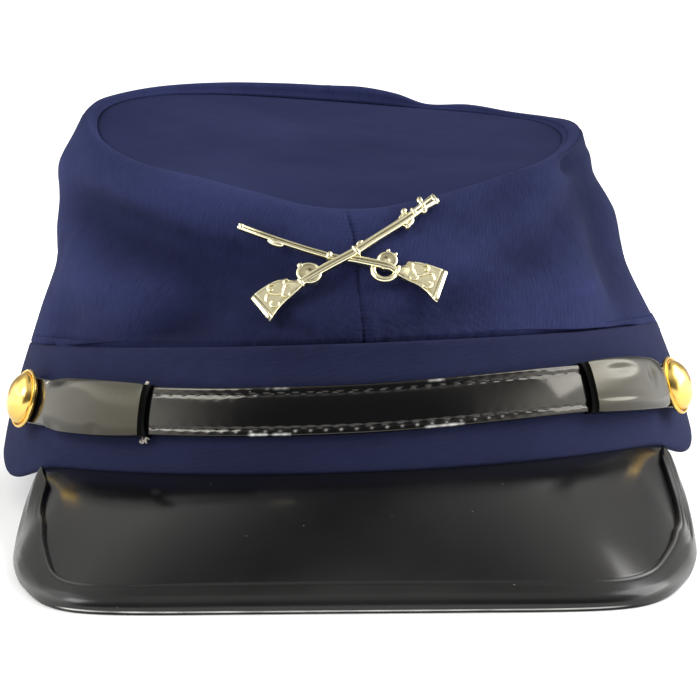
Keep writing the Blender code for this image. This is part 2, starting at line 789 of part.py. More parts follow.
def add_form_ball(name, radius, centre, forms):
    bpy.ops.mesh.primitive_uv_sphere_add(segments=10, ring_count=6, radius=radius)
    ball = bpy.context.object
    ball.name = name
    flat = Matrix.Diagonal((1.0, 1.0, RIFLE_DEPTH / 2 / radius, 1.0))
    ball.data.transform(Matrix.Translation(centre) @ flat)
    move_to(ball, forms)


def add_form_ring(name, centre, forms):
    bpy.ops.mesh.primitive_torus_add(
        major_radius=GUARD_RADIUS, minor_radius=GUARD_WIRE, major_segments=10, minor_segments=5
    )
    hoop = bpy.context.object
    hoop.name = name
    hoop.data.transform(Matrix.Translation(centre))
    move_to(hoop, forms)


def add_form_cylinder(name, radius, length, matrix, forms):
    bpy.ops.mesh.primitive_cylinder_add(vertices=8, radius=radius, depth=length)
    rod = bpy.context.object
    rod.name = name
    rod.data.transform(matrix)
    move_to(rod, forms)


def move_to(item, collection):
    for old in list(item.users_collection):
        old.objects.unlink(item)
    collection.objects.link(item)


def pin_hole(cutters, pose):
    seat, outward = badge_seat(0.0, 0.0)
    length = 2 * (PIN_LENGTH + GAP)
    return hole_cutter("pin_cut", seat, outward, PIN_RADIUS + GAP, length, cutters, pose)


def stand_on_ground(pose, pieces):
    # Tilts the cap back, then centres its whole box over the origin
    lift = math.sin(REST_PITCH) * HEAD_LENGTH / 2
    tilt = Matrix.Rotation(-REST_PITCH, 4, "X") @ Matrix.Rotation(-REST_ROLL, 4, "Y")
    pose.matrix_world = Matrix.Translation((0, 0, lift)) @ tilt
    bpy.context.view_layer.update()
    graph = bpy.context.evaluated_depsgraph_get()
    points = []
    for piece in pieces:
        seen = piece.evaluated_get(graph)
        points += [seen.matrix_world @ vertex.co for vertex in seen.to_mesh().vertices]
        seen.to_mesh_clear()
    for axis in (0, 1):
        values = [point[axis] for point in points]
        pose.location[axis] -= (min(values) + max(values)) / 2
    bpy.context.view_layer.update()


def main():
    clear_scene()
    cap = new_collection("forage_cap")
    cutters = new_collection("cutters")
    pose = bpy.data.objects.new("cap_pose", None)
    cap.objects.link(pose)
    ground = ground_cutter(cutters)

    band = make_band(cap, pose, ground)
    crown_side = make_crown_side(cap, pose)
    crown_top = make_crown_top(cap, pose)
    peak = make_peak(cap, pose)
    binding = make_binding(cap, pose, ground)
    strap = make_strap(cap, pose)
    pieces = [band, crown_side, crown_top, peak, binding, strap]
    for label, side in (("right", -1), ("left", 1)):
        pieces.append(make_keeper("strap_keeper_" + label, side, cap, pose))
        pieces.append(make_button("button_" + label, side, cap, pose))
        hole = shank_hole("shank_cut_" + label, side, cutters, pose)
        cut_with(band, hole)
        cut_with(strap, hole)
    pieces.append(make_badge(cap, cutters, pose))
    cut_with(crown_side, pin_hole(cutters, pose))
    stand_on_ground(pose, pieces)
    return pieces


main()
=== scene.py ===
import math

import bmesh
import bpy
import numpy as np
from mathutils import Matrix, Vector, noise


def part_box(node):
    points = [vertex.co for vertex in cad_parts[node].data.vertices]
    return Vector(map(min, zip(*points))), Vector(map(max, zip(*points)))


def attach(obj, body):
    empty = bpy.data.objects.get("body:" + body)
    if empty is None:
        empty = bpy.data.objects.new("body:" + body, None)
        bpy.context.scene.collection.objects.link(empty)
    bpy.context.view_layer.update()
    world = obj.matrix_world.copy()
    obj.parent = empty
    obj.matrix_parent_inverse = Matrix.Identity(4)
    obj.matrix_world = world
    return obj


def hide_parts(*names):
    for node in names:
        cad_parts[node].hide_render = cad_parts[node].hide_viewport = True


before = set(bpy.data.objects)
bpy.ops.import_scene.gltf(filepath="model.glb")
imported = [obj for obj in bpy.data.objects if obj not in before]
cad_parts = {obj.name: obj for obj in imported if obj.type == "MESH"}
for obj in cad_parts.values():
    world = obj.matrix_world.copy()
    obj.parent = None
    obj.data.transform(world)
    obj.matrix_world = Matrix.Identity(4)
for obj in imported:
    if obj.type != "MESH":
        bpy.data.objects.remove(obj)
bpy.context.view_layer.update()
mm = 0.001
gap = 0.3 * mm  # room between pieces that touch

# The cap is made upright in its own frame, front at -Y and the lower edge of the band at
# height 0. A finished mesh is tilted into the rest position of the CAD.
# An azimuth is in radians from the front towards +X.

head = {
    "width": 187 * mm,
    "length": 199 * mm,
    "pitch": 6.3,  # degrees that the front is raised
    "roll": 1.8,  # degrees that the +X side is raised
    "footDepth": 0.4 * mm,
    "aside": -0.9 * mm,  # how far the band sits to the wearer's right
}


def readTable(rows, place):
    # every column after the first, on a smooth curve through the rows
    rows = np.array(rows, float)
    x, y = rows[:, 0], rows[:, 1:]
    slope = np.gradient(y, x, axis=0)
    slope[1:-1] = (y[2:] - y[:-2]) / (x[2:] - x[:-2])[:, None]
    place = np.clip(np.asarray(place, float), x[0], x[-1])
    at = np.clip(np.searchsorted(x, place, side="right") - 1, 0, len(x) - 2)
    span = (x[at + 1] - x[at])[..., None]
    t = ((place - x[at]) / (x[at + 1] - x[at]))[..., None]
    values = (
        (2 * t**3 - 3 * t**2 + 1) * y[at]
        + (t**3 - 2 * t**2 + t) * slope[at] * span
        + (3 * t**2 - 2 * t**3) * y[at + 1]
        + (t**3 - t**2) * slope[at + 1] * span
    )
    return np.moveaxis(values, -1, 0)


def unit(vectors):
    return vectors / np.maximum(np.linalg.norm(vectors, axis=-1, keepdims=True), 1e-12)


def pointsOf(x, y, z):
    return np.stack(np.broadcast_arrays(x, y, z), axis=-1).astype(float)


def mix(low, high, share):
    return low + (high - low) * share


def eased(share):
    # 0 to 1 with a soft start and end
    share = np.clip(share, 0, 1)
    return share**2 * (3 - 2 * share)


def bell(distance, reach):
    return np.exp(-((distance / reach) ** 2))


def turnBetween(one, other):
    return (one - other + np.pi) % (2 * np.pi) - np.pi


def ringPoint(azimuth, halfWidth, halfLength, height):
    return pointsOf(halfWidth * np.sin(azimuth), -halfLength * np.cos(azimuth), height)


def groundHeight(x, y):
    pitch, roll = math.radians(head["pitch"]), math.radians(head["roll"])
    lift = math.sin(pitch) * head["length"] / 2
    return ((y * math.sin(pitch) - lift) / math.cos(pitch) - x * math.sin(roll)) / math.cos(roll)


band = {
    "height": 29 * mm,
    "wall": 2.4 * mm,
    "drawSide": 8.4 * mm,  # how far its upper edge draws in at the sides, and at the front
    "drawFront": 5.0 * mm,
    "bulge": 0.7 * mm,
    "dip": 4.2 * mm,  # how far its lower edge hangs down at the peak's roots
    "dipAt": math.radians(67),
    "dipSpread": math.radians(10),
    "round": 1.0 * mm,
    "puffs": ((26 * mm, 3.0, 0.35 * mm), (7 * mm, 5.0, 0.10 * mm)),  # size, seed, height
    "shade": 0.75,  # how much darker the painted shade makes the front under the crown
    "shadeReach": 0.55,
}


def bandFace(azimuth, height):
    share = height / band["height"]
    bulge = band["bulge"] * np.sin(np.pi * np.clip(share, 0, 1))
    halfWidth = head["width"] / 2 - band["drawSide"] * share + bulge
    halfLength = head["length"] / 2 - band["drawFront"] * share + bulge
    return ringPoint(azimuth, halfWidth, halfLength, height) + np.array((head["aside"], 0.0, 0.0))


def bandOutward(azimuth):
    ahead = bandFace(azimuth + 0.01, 0.0) - bandFace(azimuth - 0.01, 0.0)
    rise = bandFace(azimuth, band["height"]) - bandFace(azimuth, 0.0)
    return unit(np.cross(ahead, rise))


def bandPoint(azimuth, height, out=0.0):
    return bandFace(azimuth, height) + bandOutward(azimuth) * np.asarray(out)[..., None]


def bandDrop(azimuth):
    near = np.abs(turnBetween(azimuth, 0.0)) - band["dipAt"]
    return band["dip"] * bell(near, band["dipSpread"])


def noiseField(points, scale, seed):
    # a smooth random height at each point, about -1 to 1
    flat = points.reshape(-1, 3) / scale
    values = [
        noise.fractal(Vector((x + seed, y - seed, z + 2 * seed)), 1.0, 2.0, 2)
        for x, y, z in flat.tolist()
    ]
    return np.array(values).reshape(points.shape[:-1])


def bumps(points, layers):
    # unevenness of the cloth: layers of a size, a seed and a height
    return sum(noiseField(points, size, seed) * height for size, seed, height in layers)


def gridNormals(points, around):
    if around:
        across = np.roll(points, -1, 1) - np.roll(points, 1, 1)
    else:
        across = np.gradient(points, axis=1)
    return unit(np.cross(across, np.gradient(points, axis=0)))


def shell(points, plain, wall, around):
    # the wall's outer rows, then its inner rows back again, which follow plainer rows
    inner = plain - gridNormals(plain, around) * wall
    return np.concatenate((points, inner[::-1]))


def settle():
    # the tilt of the CAD, over the box of the CAD's band
    tilt = Matrix.Rotation(math.radians(-head["pitch"]), 4, "X")
    tilt = np.array(tilt @ Matrix.Rotation(math.radians(-head["roll"]), 4, "Y"))
    azimuth = np.radians(np.arange(0, 360, 6.0))
    lower, upper = bandFace(azimuth, -bandDrop(azimuth)), bandFace(azimuth, 0.12 * band["height"])
    ring = np.concatenate((lower, upper)) @ tilt[:3, :3].T
    low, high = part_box("band")
    middle = (ring.max(0) + ring.min(0)) / 2
    tilt[0, 3] = (low.x + high.x) / 2 - middle[0] + head["aside"]
    tilt[1, 3] = (low.y + high.y) / 2 - middle[1]
    tilt[2, 3] = math.sin(math.radians(head["pitch"])) * head["length"] / 2
    return tilt


capPose = settle()
print("cap stands at", np.round(capPose[:3, 3] / mm, 2).tolist(), "mm")


def intoWorld(points):
    return points @ capPose[:3, :3].T + capPose[:3, 3]


def ontoFloor(points):
    # presses what would lie under the ground flat on it
    world = intoWorld(points)
    world[..., 2] = np.maximum(world[..., 2], 0.0)
    return (world - capPose[:3, 3]) @ capPose[:3, :3]


def lengthsAlong(points, axis, wrap):
    # running length along a grid, as the mean over the other way
    if wrap:
        first = np.take(points, [0], axis=axis)
        points = np.concatenate((points, first), axis=axis)
    steps = np.linalg.norm(np.diff(points, axis=axis), axis=-1).mean(axis=1 - axis)
    return np.concatenate(((0.0,), np.cumsum(steps)))


def gridMesh(name, points, wrapU=False, wrapV=False):
    # rows of points to quads, with a cloth map in metres
    rows, count = points.shape[:2]
    lastU = count if wrapU else count - 1
    lastV = rows if wrapV else rows - 1
    row, column = np.meshgrid(np.arange(lastV), np.arange(lastU), indexing="ij")
    nextRow, nextColumn = (row + 1) % rows, (column + 1) % count
    corners = ((row, column), (row, nextColumn), (nextRow, nextColumn), (nextRow, column))
    faces = np.stack([r * count + c for r, c in corners], axis=-1).reshape(-1, 4)
    mesh = bpy.data.meshes.new(name)
    mesh.from_pydata(intoWorld(points).reshape(-1, 3).tolist(), [], faces.tolist())
    u, v = lengthsAlong(points, 1, wrapU), lengthsAlong(points, 0, wrapV)
    cornersUv = ((row, column), (row, column + 1), (row + 1, column + 1), (row + 1, column))
    flat = np.stack([np.stack((u[c], v[r]), axis=-1) for r, c in cornersUv], axis=2).reshape(-1, 2)
    layer = mesh.uv_layers.new(name="cloth map")
    layer.uv.foreach_set("vector", flat.astype(np.float32).ravel())
    mesh.shade_smooth()
    return mesh


def setShares(mesh, name, values):
    # a value for each point, which a material can read by its name
    layer = mesh.attributes.new(name, "FLOAT", "POINT")
    layer.data.foreach_set("value", values.astype(np.float32).ravel())


def addPiece(name, meshes, material, nodes=(), sharp=None):
    # joins the meshes into one object that rides with the CAD
    piece = bpy.data.objects.new(name, joined(name, meshes))
    piece.data.materials.clear()
    piece.data.materials.append(material)
    bpy.context.scene.collection.objects.link(piece)
    if sharp:
        piece.data.set_sharp_from_angle(angle=math.radians(sharp))
    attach(piece, "root")
    if nodes:
        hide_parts(*nodes)
    print(name, "has", len(piece.data.polygons), "faces")
    return piece


def joined(name, meshes):
    if not isinstance(meshes, (list, tuple)):
        return meshes
    points, faces, maps, smooth = [], [], [], []
    for mesh in meshes:
        base = len(points)
        points += [tuple(v.co) for v in mesh.vertices]
        faces += [[base + i for i in face.vertices] for face in mesh.polygons]
        layer = mesh.uv_layers.active
        flat = np.zeros(2 * len(mesh.loops), np.float32)
        if layer:
            layer.uv.foreach_get("vector", flat)
        maps.append(flat)
        smooth += [face.use_smooth for face in mesh.polygons]
        bpy.data.meshes.remove(mesh)
    whole = bpy.data.meshes.new(name)
    whole.from_pydata(points, [], faces)
    layer = whole.uv_layers.new(name="cloth map")
    layer.uv.foreach_set("vector", np.concatenate(maps))
    whole.polygons.foreach_set("use_smooth", smooth)
    return whole


def feed(tree, socket, value):
    # links a socket, or sets a plain value
    if isinstance(value, bpy.types.NodeSocket):
        tree.links.new(value, socket)
    else:
        socket.default_value = value


def mathsIn(tree, operation, *values):
    made = tree.nodes.new("ShaderNodeMath")
    made.operation = operation
    for socket, value in zip(made.inputs, values):
        feed(tree, socket, value)
    return made.outputs[0]


class Finish:
    # a Principled material and short ways to add nodes to it
    def __init__(self, name, colour, roughness, **values):
        self.material = bpy.data.materials.new(name)
        self.material.use_nodes = True
        self.tree = self.material.node_tree
        self.shader = self.tree.nodes["Principled BSDF"]
        self.shader.inputs["Base Color"].default_value = (*colour, 1.0)
        self.shader.inputs["Roughness"].default_value = roughness
        for key, value in values.items():
            self.shader.inputs[key.replace("_", " ")].default_value = value
        self.height = None

    def node(self, kind, inputs=None, **settings):
        made = self.tree.nodes.new("ShaderNode" + kind)
        for key, value in settings.items():
            setattr(made, key, value)
        for key, value in (inputs or {}).items():
            feed(self.tree, made.inputs[key], value)
        return made

    def clothMap(self):
        return self.node("UVMap", uv_map="cloth map").outputs["UV"]

    def place(self):
        return self.node("TexCoord").outputs["Object"]

    def share(self, name):
        # a value that setShares gave to the mesh
        return self.node("Attribute", attribute_name=name).outputs["Fac"]

    def scaled(self, vector, scale, turn=0.0):
        # turns the map first, so that the scale stretches along and across the turned way
        turned = self.node("Mapping", {"Vector": vector, "Rotation": (0, 0, math.radians(turn))})
        scale = scale if isinstance(scale, tuple) else (scale, scale, scale)
        inputs = {"Vector": turned.outputs["Vector"], "Scale": scale}
        return self.node("Mapping", inputs).outputs["Vector"]

    def noise(self, vector, scale, detail):
        inputs = {"Vector": vector, "Scale": scale, "Detail": detail, "Roughness": 0.5}
        return self.node("TexNoise", inputs).outputs["Fac"]

    def ribs(self, vector, perMetre, turn, wander=0.0):
        # straight ribs and grooves, 0 to 1, that together number this many for each metre
        inputs = {
            "Vector": self.scaled(vector, perMetre * 0.05, turn),
            "Scale": math.pi,
            "Distortion": wander,
            "Detail": 1.0,
            "Detail Scale": 3.0,
        }
        wave = self.node("TexWave", inputs, wave_type="BANDS", bands_direction="X")
        return wave.outputs["Fac"]

    def maths(self, operation, *values):
        return mathsIn(self.tree, operation, *values)

    def sum(self, *parts):
        # adds up pairs of a socket and its weight
        total = self.maths("MULTIPLY", *parts[0])
        for socket, weight in parts[1:]:
            total = self.maths("MULTIPLY_ADD", socket, weight, total)
        return total

    def ramp(self, value, low, high, start=0.0, end=1.0):
        inputs = {"Value": value, "From Min": low, "From Max": high, "To Min": start, "To Max": end}
        return self.node("MapRange", inputs).outputs["Result"]

    def blend(self, share, one, other):
        made = self.node("Mix", data_type="RGBA")
        for at, value in ((6, one), (7, other)):
            feed(self.tree, made.inputs[at], (*value, 1.0) if isinstance(value, tuple) else value)
        self.tree.links.new(share, made.inputs[0])
        return made.outputs[2]

    def colour(self, socket):
        self.tree.links.new(socket, self.shader.inputs["Base Color"])

    def rough(self, socket):
        self.tree.links.new(socket, self.shader.inputs["Roughness"])

    def emboss(self, height, distance):
        # adds a layer of fine relief, in metres
        inputs = {"Height": height, "Distance": distance, "Strength": 1.0}
        if self.height is not None:
            inputs["Normal"] = self.height
        self.height = self.node("Bump", inputs).outputs["Normal"]
        self.tree.links.new(self.height, self.shader.inputs["Normal"])


weave = {
    "ribs": 0.55 * mm,  # across a rib or a groove
    "yarn": 0.35 * mm,
    "streak": (0.55 * mm, 4.5 * mm),  # across and along the ribs
    "slub": 4 * mm,
    "blotches": 22.0,  # for each metre
    "shadeAndPatina": -0.42,  # how much darker the cloth is painted where its mesh gives painted shade, in its folds and under the crown
}

# darker and lighter yarn, the turn of the ribs in degrees, the depth of the weave
cloths = {
    "crown cloth": ((0.0110, 0.0138, 0.043), (0.0264, 0.0319, 0.100), 14.0, 0.035 * mm),
    # the top is the side's cloth, painted darker as painted shade against the stronger light from above
    "top cloth": ((0.0080, 0.0098, 0.036), (0.0163, 0.0195, 0.062), 75.0, 0.02 * mm),
    "band cloth": ((0.0110, 0.0135, 0.037), (0.0205, 0.0245, 0.062), 80.0, 0.025 * mm),
}


def twill(name, dark, light, turn, relief):
    cloth = Finish(name, dark, 0.9, Sheen_Weight=0.015, Sheen_Roughness=0.5, Specular_IOR_Level=0.05)
    cloth.shader.inputs["Sheen Tint"].default_value = (0.45, 0.55, 1.0, 1.0)
    uv, place = cloth.clothMap(), cloth.place()
    ribs = cloth.ribs(uv, 1 / weave["ribs"], turn, 0.6)
    yarn = cloth.noise(cloth.scaled(uv, 1 / weave["yarn"]), 1.0, 2.0)
    across, along = weave["streak"]
    streak = cloth.noise(cloth.scaled(uv, (1 / across, 1 / along, 1.0), turn), 1.0, 2.0)
    slub = cloth.noise(cloth.scaled(uv, 1 / weave["slub"]), 1.0, 2.0)
    blotches = cloth.ramp(cloth.noise(place, weave["blotches"], 3.0), 0.3, 0.7, -0.2, 0.2)
    # painted shade from the mesh: darker in the crown's folds and at its foot, and on the band under the
    # crown
    shadeAndPatina = (cloth.share("shadeAndPatina"), weave["shadeAndPatina"])
    shade = cloth.sum((yarn, 0.45), (ribs, 0.07), (streak, 0.55), (slub, 0.20), (blotches, 1.0), shadeAndPatina)
    deepest = tuple(0.62 * c for c in dark)
    low = cloth.blend(cloth.ramp(shade, -0.10, 0.28), deepest, dark)
    cloth.colour(cloth.blend(cloth.ramp(shade, 0.28, 1.02), low, light))
    cloth.rough(cloth.ramp(yarn, 0.3, 0.7, 0.82, 0.96))
    cloth.emboss(cloth.sum((yarn, 1.0), (ribs, 0.3), (streak, 0.8)), relief)
    return cloth.material


# colour, roughness, tint of the gloss
vinyls = {
    "peak vinyl": ((0.004, 0.004, 0.005), 0.17, (0.97, 0.96, 0.91)),
    "binding vinyl": ((0.007, 0.007, 0.007), 0.24, (0.75, 0.75, 0.75)),
    "strap vinyl": ((0.003, 0.003, 0.004), 0.10, (1.0, 0.95, 0.84)),
    "keeper vinyl": ((0.006, 0.006, 0.005), 0.14, (1.0, 0.94, 0.72)),
}
vinylSkin = {
    "gloss": 0.5,  # level of the reflection, and where the mesh says dull
    "dullGloss": 0.06,
    "dust": (0.16, 0.16, 0.15),
    # colour of the painted glints and highlight lines on the strap's and the binding's edges
    "paintedGlint": (0.96, 0.95, 0.92),
    "ripple": 0.02 * mm,
    "grain": 0.004 * mm,
}


def vinyl(name, colour, roughness, tint):
    skin = Finish(name, colour, roughness, Specular_IOR_Level=vinylSkin["gloss"], IOR=1.5)
    skin.shader.inputs["Specular Tint"].default_value = (*tint, 1.0)
    place = skin.place()
    smear = skin.noise(place, 30.0, 4.0)
    skin.rough(skin.ramp(smear, 0.3, 0.7, roughness * 0.75, roughness * 1.5))
    specks = skin.ramp(skin.noise(place, 900.0, 1.0), 0.80, 0.86)
    dusty = skin.blend(specks, colour, vinylSkin["dust"])
    # painted highlights: the vinyl turns near white where the mesh gives a painted glint
    skin.colour(skin.blend(skin.share("paintedGlint"), dusty, vinylSkin["paintedGlint"]))
    level = skin.ramp(skin.share("dull"), 0, 1, vinylSkin["gloss"], vinylSkin["dullGloss"])
    skin.tree.links.new(level, skin.shader.inputs["Specular IOR Level"])
    skin.emboss(skin.noise(place, 90.0, 2.0), vinylSkin["ripple"])
    skin.emboss(skin.noise(place, 1800.0, 2.0), vinylSkin["grain"])
    return skin.material


# colour, colour of the stains and hollows, roughness
metals = {
    "button brass": ((0.90, 0.62, 0.17), (0.36, 0.19, 0.04), 0.2),
    "pale gilt": ((0.87, 0.81, 0.55), (0.24, 0.19, 0.09), 0.2),
}


def metal(name, colour, deep, roughness):
    cast = Finish(name, colour, roughness, Metallic=1.0)
    place = cast.place()
    tarnish = cast.noise(place, 160.0, 4.0)
    shadeAndPatina = cast.ramp(cast.node("NewGeometry").outputs["Pointiness"], 0.46, 0.52, 1.0, 0.0)
    stain = cast.maths("MAXIMUM", cast.ramp(tarnish, 0.5, 0.85, 0.0, 0.5), shadeAndPatina)
    cast.colour(cast.blend(stain, colour, deep))
    cast.rough(cast.ramp(tarnish, 0.3, 0.7, roughness * 0.7, roughness * 1.5))
    cast.emboss(cast.noise(place, 1500.0, 2.0), 0.01 * mm)
    return cast.material


threadColours = {"black thread": (0.03, 0.03, 0.03), "pale thread": (0.75, 0.70, 0.60)}


def thread(name, colour):
    strand = Finish(name, colour, 0.75, Sheen_Weight=0.2)
    strand.emboss(strand.ribs(strand.clothMap(), 1 / (0.35 * mm), 40.0), 0.03 * mm)
    fuzz = strand.noise(strand.place(), 2500.0, 2.0)
    darker = tuple(0.6 * c for c in colour)
    strand.colour(strand.blend(fuzz, darker, colour))
    return strand.material


def shadeBacking():
    # the vinyl's dull backing, coloured near black as painted shade for the gap at each keeper's inner end
    backing = Finish("cut edge backing", (0.006, 0.006, 0.006), 0.9, Specular_IOR_Level=0.1)
    backing.emboss(backing.noise(backing.place(), 2200.0, 2.0), 0.05 * mm)
    return backing.material


crownCloth, topClothShaded, bandCloth = (twill(name, *values) for name, values in cloths.items())
peakVinyl, bindingVinyl, strapVinyl, keeperVinyl = (vinyl(name, *values) for name, values in vinyls.items())
brass, gilt = (metal(name, *values) for name, values in metals.items())
blackThread, paleThread = (thread(name, colour) for name, colour in threadColours.items())
shadeBackingCloth = shadeBacking()
print("finishes:", ", ".join(material.name for material in bpy.data.materials))


def roundedSection(width, wall, radius, frontSteps, backSteps, cornerSteps=5):
    # a rounded bar's section, anticlockwise: along 0 to width, out 0 to wall
    corners = (
        (width - radius, wall - radius, 0, frontSteps),
        (radius, wall - radius, 90, 1),
        (radius, radius, 180, backSteps),
        (width - radius, radius, 270, 1),
    )
    loop = []
    for along, out, start, steps in corners:
        for step in range(cornerSteps):
            angle = math.radians(start + 90 * step / (cornerSteps - 1))
            loop.append((along + radius * math.cos(angle), out + radius * math.sin(angle)))
        side = -1 if start == 0 else 1
        last = loop[-1]
        for step in range(1, steps):
            loop.append((last[0] + side * (width - 2 * radius) * step / steps, last[1]))
    return np.array(loop)


def makeBand():
    azimuth = np.radians(np.arange(0, 360, 0.75))
    loop = roundedSection(band["height"], band["wall"], band["round"], 26, 12)[::-1]
    height, out = loop[:, :1], loop[:, 1:] - band["wall"]
    share = height / band["height"]
    drop = bandDrop(azimuth)[None] * (1 - share) ** 2
    points = bandPoint(azimuth[None] + 0 * height, height - drop, out + 0 * azimuth[None])
    puffs = bumps(points, band["puffs"]) * np.sin(np.pi * np.clip(share, 0, 1))
    points += bandOutward(azimuth)[None] * puffs[..., None]
    foot = head["footDepth"] * bell(points[..., 1] - head["length"] / 2, head["length"] / 8)
    points[..., 2] -= foot * (share < 0.1)
    mesh = gridMesh("headBand", ontoFloor(points), wrapU=True, wrapV=True)
    # painted shade: the cloth in the shade of the crown is painted darker in the middle
    shade = bell(turnBetween(azimuth[None], 0.0), band["shadeReach"]) * np.clip(share * 2 - 0.9, 0, 1)
    setShares(mesh, "shadeAndPatina", band["shade"] * shade)
    return addPiece("headBand", mesh, bandCloth, ["band"])


makeBand()


crown = {
    "wall": 1.6 * mm,
    "tuck": 7.0 * mm,  # how deep its hem goes into the band
    "setback": 1.3 * mm,
    "topWidth": 136.5 * mm,
    "topLength": 139 * mm,
    "topBack": 2.5 * mm,
    "topAside": -1.2 * mm,
    "height": 81.9 * mm,  # of the round top's middle, then how its edge differs round the crown
    "fall": 18.4 * mm,
    "lean": 4.0 * mm,
    "saddle": 2.8 * mm,
    "twist": 1.5 * mm,
    "foldDepth": 4.0 * mm,
    "rimRoll": 2.6 * mm,
    "rimDepthBack": 3.1 * mm,
    "rimDepthFront": 0.35 * mm,
    "puffs": ((24 * mm, 1.0, 0.55 * mm), (8 * mm, 7.0, 0.16 * mm)),  # size, seed, height
    "columns": 560,
    "rows": 96,
    # share of the height, share of the way in to the rim
    "face": (
        (0.00, 0.000),
        (0.06, 0.000),
        (0.16, 0.10),
        (0.30, 0.24),
        (0.45, 0.39),
        (0.60, 0.52),
        (0.74, 0.64),
        (0.86, 0.74),
        (0.94, 0.83),
        (0.985, 0.93),
        (1.00, 1.00),
    ),
    # azimuth, share of height, reach across, reach up, slant, depth
    "folds": (
        (-66, 0.68, 16, 0.09, 0, 0.45),
        (-97, 0.70, 16, 0.12, 0, -0.55),
        (-40, 0.60, 26, 0.12, -120, 1.45),
        (-25, 0.24, 9, 0.20, 14, 0.95),
        (-49, 0.34, 15, 0.13, 0, -0.60),
        (-80, 0.80, 26, 0.12, 0, -0.85),
        (-88, 0.34, 22, 0.13, 0, 0.45),
        (-36, 0.84, 18, 0.08, 10, -0.35),
        (-61, 0.10, 10, 0.07, 30, 0.75),
        (-30, 0.08, 6, 0.06, 20, 0.55),
        (-13, 0.16, 5, 0.13, -60, 0.35),
        (14, 0.20, 6, 0.18, 40, 0.40),
        (27, 0.34, 8, 0.15, -40, -0.35),
        (40, 0.55, 10, 0.18, 60, 0.60),
        (45, 0.27, 10, 0.13, 0, -0.55),
        (62, 0.55, 9, 0.24, 12, 0.95),
        (94, 0.30, 26, 0.20, 0, 0.85),
        (84, 0.78, 22, 0.12, 0, 0.75),
        (88, 1.00, 26, 0.10, 0, 1.10),
        (34, 0.90, 9, 0.09, 40, 0.55),
        (60, 0.95, 6, 0.06, 0, 1.00),
        (128, 0.50, 14, 0.30, -40, 0.80),
        (165, 0.30, 20, 0.16, 25, -0.50),
        (-128, 0.45, 15, 0.28, 35, 0.85),
        (-165, 0.66, 12, 0.20, -20, 0.55),
    ),
    # azimuth in degrees, how much higher the rim stands there in mm
    "rimWave": (
        (-180, 1.9), (-165, 1.5), (-154, 1.1), (-135, 0.2), (-115, -0.3), (-98, 0.6), (-82, 1.2),
        (-60, 0.4), (-30, -0.3), (0, 0.0), (30, 0.3), (60, -0.4), (95, 0.2), (112, -0.9),
        (127, -1.4), (142, -0.6), (154, -1.5), (162, 0.9), (171, 2.2), (180, 1.9),
    ),
    # azimuth in degrees, how far the lowest cloth hangs over the band, from 0 to 1
    "overhang": (
        (-180, 0.1), (-130, 0.4), (-105, 0.9), (-80, 0.95), (-60, 0.8), (-42, 0.4), (-20, 0.0),
        (15, 0.0), (27, 0.22), (38, 0.48), (60, 0.72), (80, 1.4), (100, 1.6), (125, 0.6), (180, 0.1),
    ),
    # azimuth in degrees, how much higher the edge of the round top is, in mm
    "rimLift": (
        (-180, 0.0), (-80, 0.2), (-62, 0.7), (-48, 1.7), (-33, 3.3), (-19, 2.3), (-7, -0.3), (5, -1.3),
        (18, -0.2), (40, 1.3), (60, 1.0), (80, 0.3), (110, 0.0), (180, 0.0),
    ),
    # azimuth in degrees, how much wider the rolled rim is there in mm
    "rimWider": (
        (-180, 0.0), (-110, 0.0), (-85, 0.6), (-60, 0.0), (20, 0.0), (50, 1.5), (72, 3.3), (95, 3.2),
        (115, 1.5), (140, 0.0), (180, 0.0),
    ),
    # where the front seam runs: share of height, azimuth in degrees
    "seam": ((0.0, 1.8), (0.48, 1.8), (0.785, 1.45), (0.945, 0.5), (1.0, 0.2)),
    "seamDepth": 0.85 * mm,
    "seamWidth": 0.42 * mm,
    "seamRadius": (88 * mm, 66 * mm),  # how far the seam is from the middle, low and high
    "welt": (3 * mm, 2.6 * mm, 0.3 * mm),  # the folded edge beside the seam: aside, reach, height
    "seamPuckers": (34, 2.2 * mm, 0.14 * mm),  # number, reach, height
    "gathers": (4.6 * mm, 0.22 * mm, 0.35 * mm),  # at the hem: pitch, height, height of wide ones
    "hang": (1.9, 0.3, 5.0),  # the overhang where its table says 1, in mm: out, more at +X, down
    # slanting wrinkles beside the seam's foot: azimuth, share of height, reach each way, depth
    "wrinkles": (0.14, 0.14, 0.34, 0.17, 0.42 * mm),
    # spots of painted shade at the foot: azimuth, share of height, reach each way, how dark
    "paintedShadeSpots": (
        (0.02, 0.08, 0.36, 0.22, 1.35),
        (-0.69, 0.05, 0.24, 0.11, 0.95),
        (-0.30, 0.05, 0.12, 0.08, 0.6),
    ),
}


def roundTable(name, azimuth):
    # a crown table of degrees and millimetres, read at an azimuth
    return readTable(crown[name], np.degrees(turnBetween(azimuth, 0.0)))[0] * mm


def seamHeight(azimuth):
    return (
        crown["height"]
        - crown["fall"] * np.cos(azimuth)
        - crown["lean"] * np.sin(azimuth)
        - crown["saddle"] * np.cos(2 * azimuth)
        + crown["twist"] * np.sin(2 * azimuth)
        + roundTable("rimLift", azimuth)
    )


def rimDepth(azimuth):
    return mix(crown["rimDepthFront"], crown["rimDepthBack"], (1 - np.cos(azimuth)) / 2)


def rimPoint(azimuth, inward, height):
    halfWidth = crown["topWidth"] / 2 - inward
    halfLength = crown["topLength"] / 2 - inward
    shift = np.array((crown["topAside"], crown["topBack"], 0.0))
    return ringPoint(azimuth, halfWidth, halfLength, height) + shift


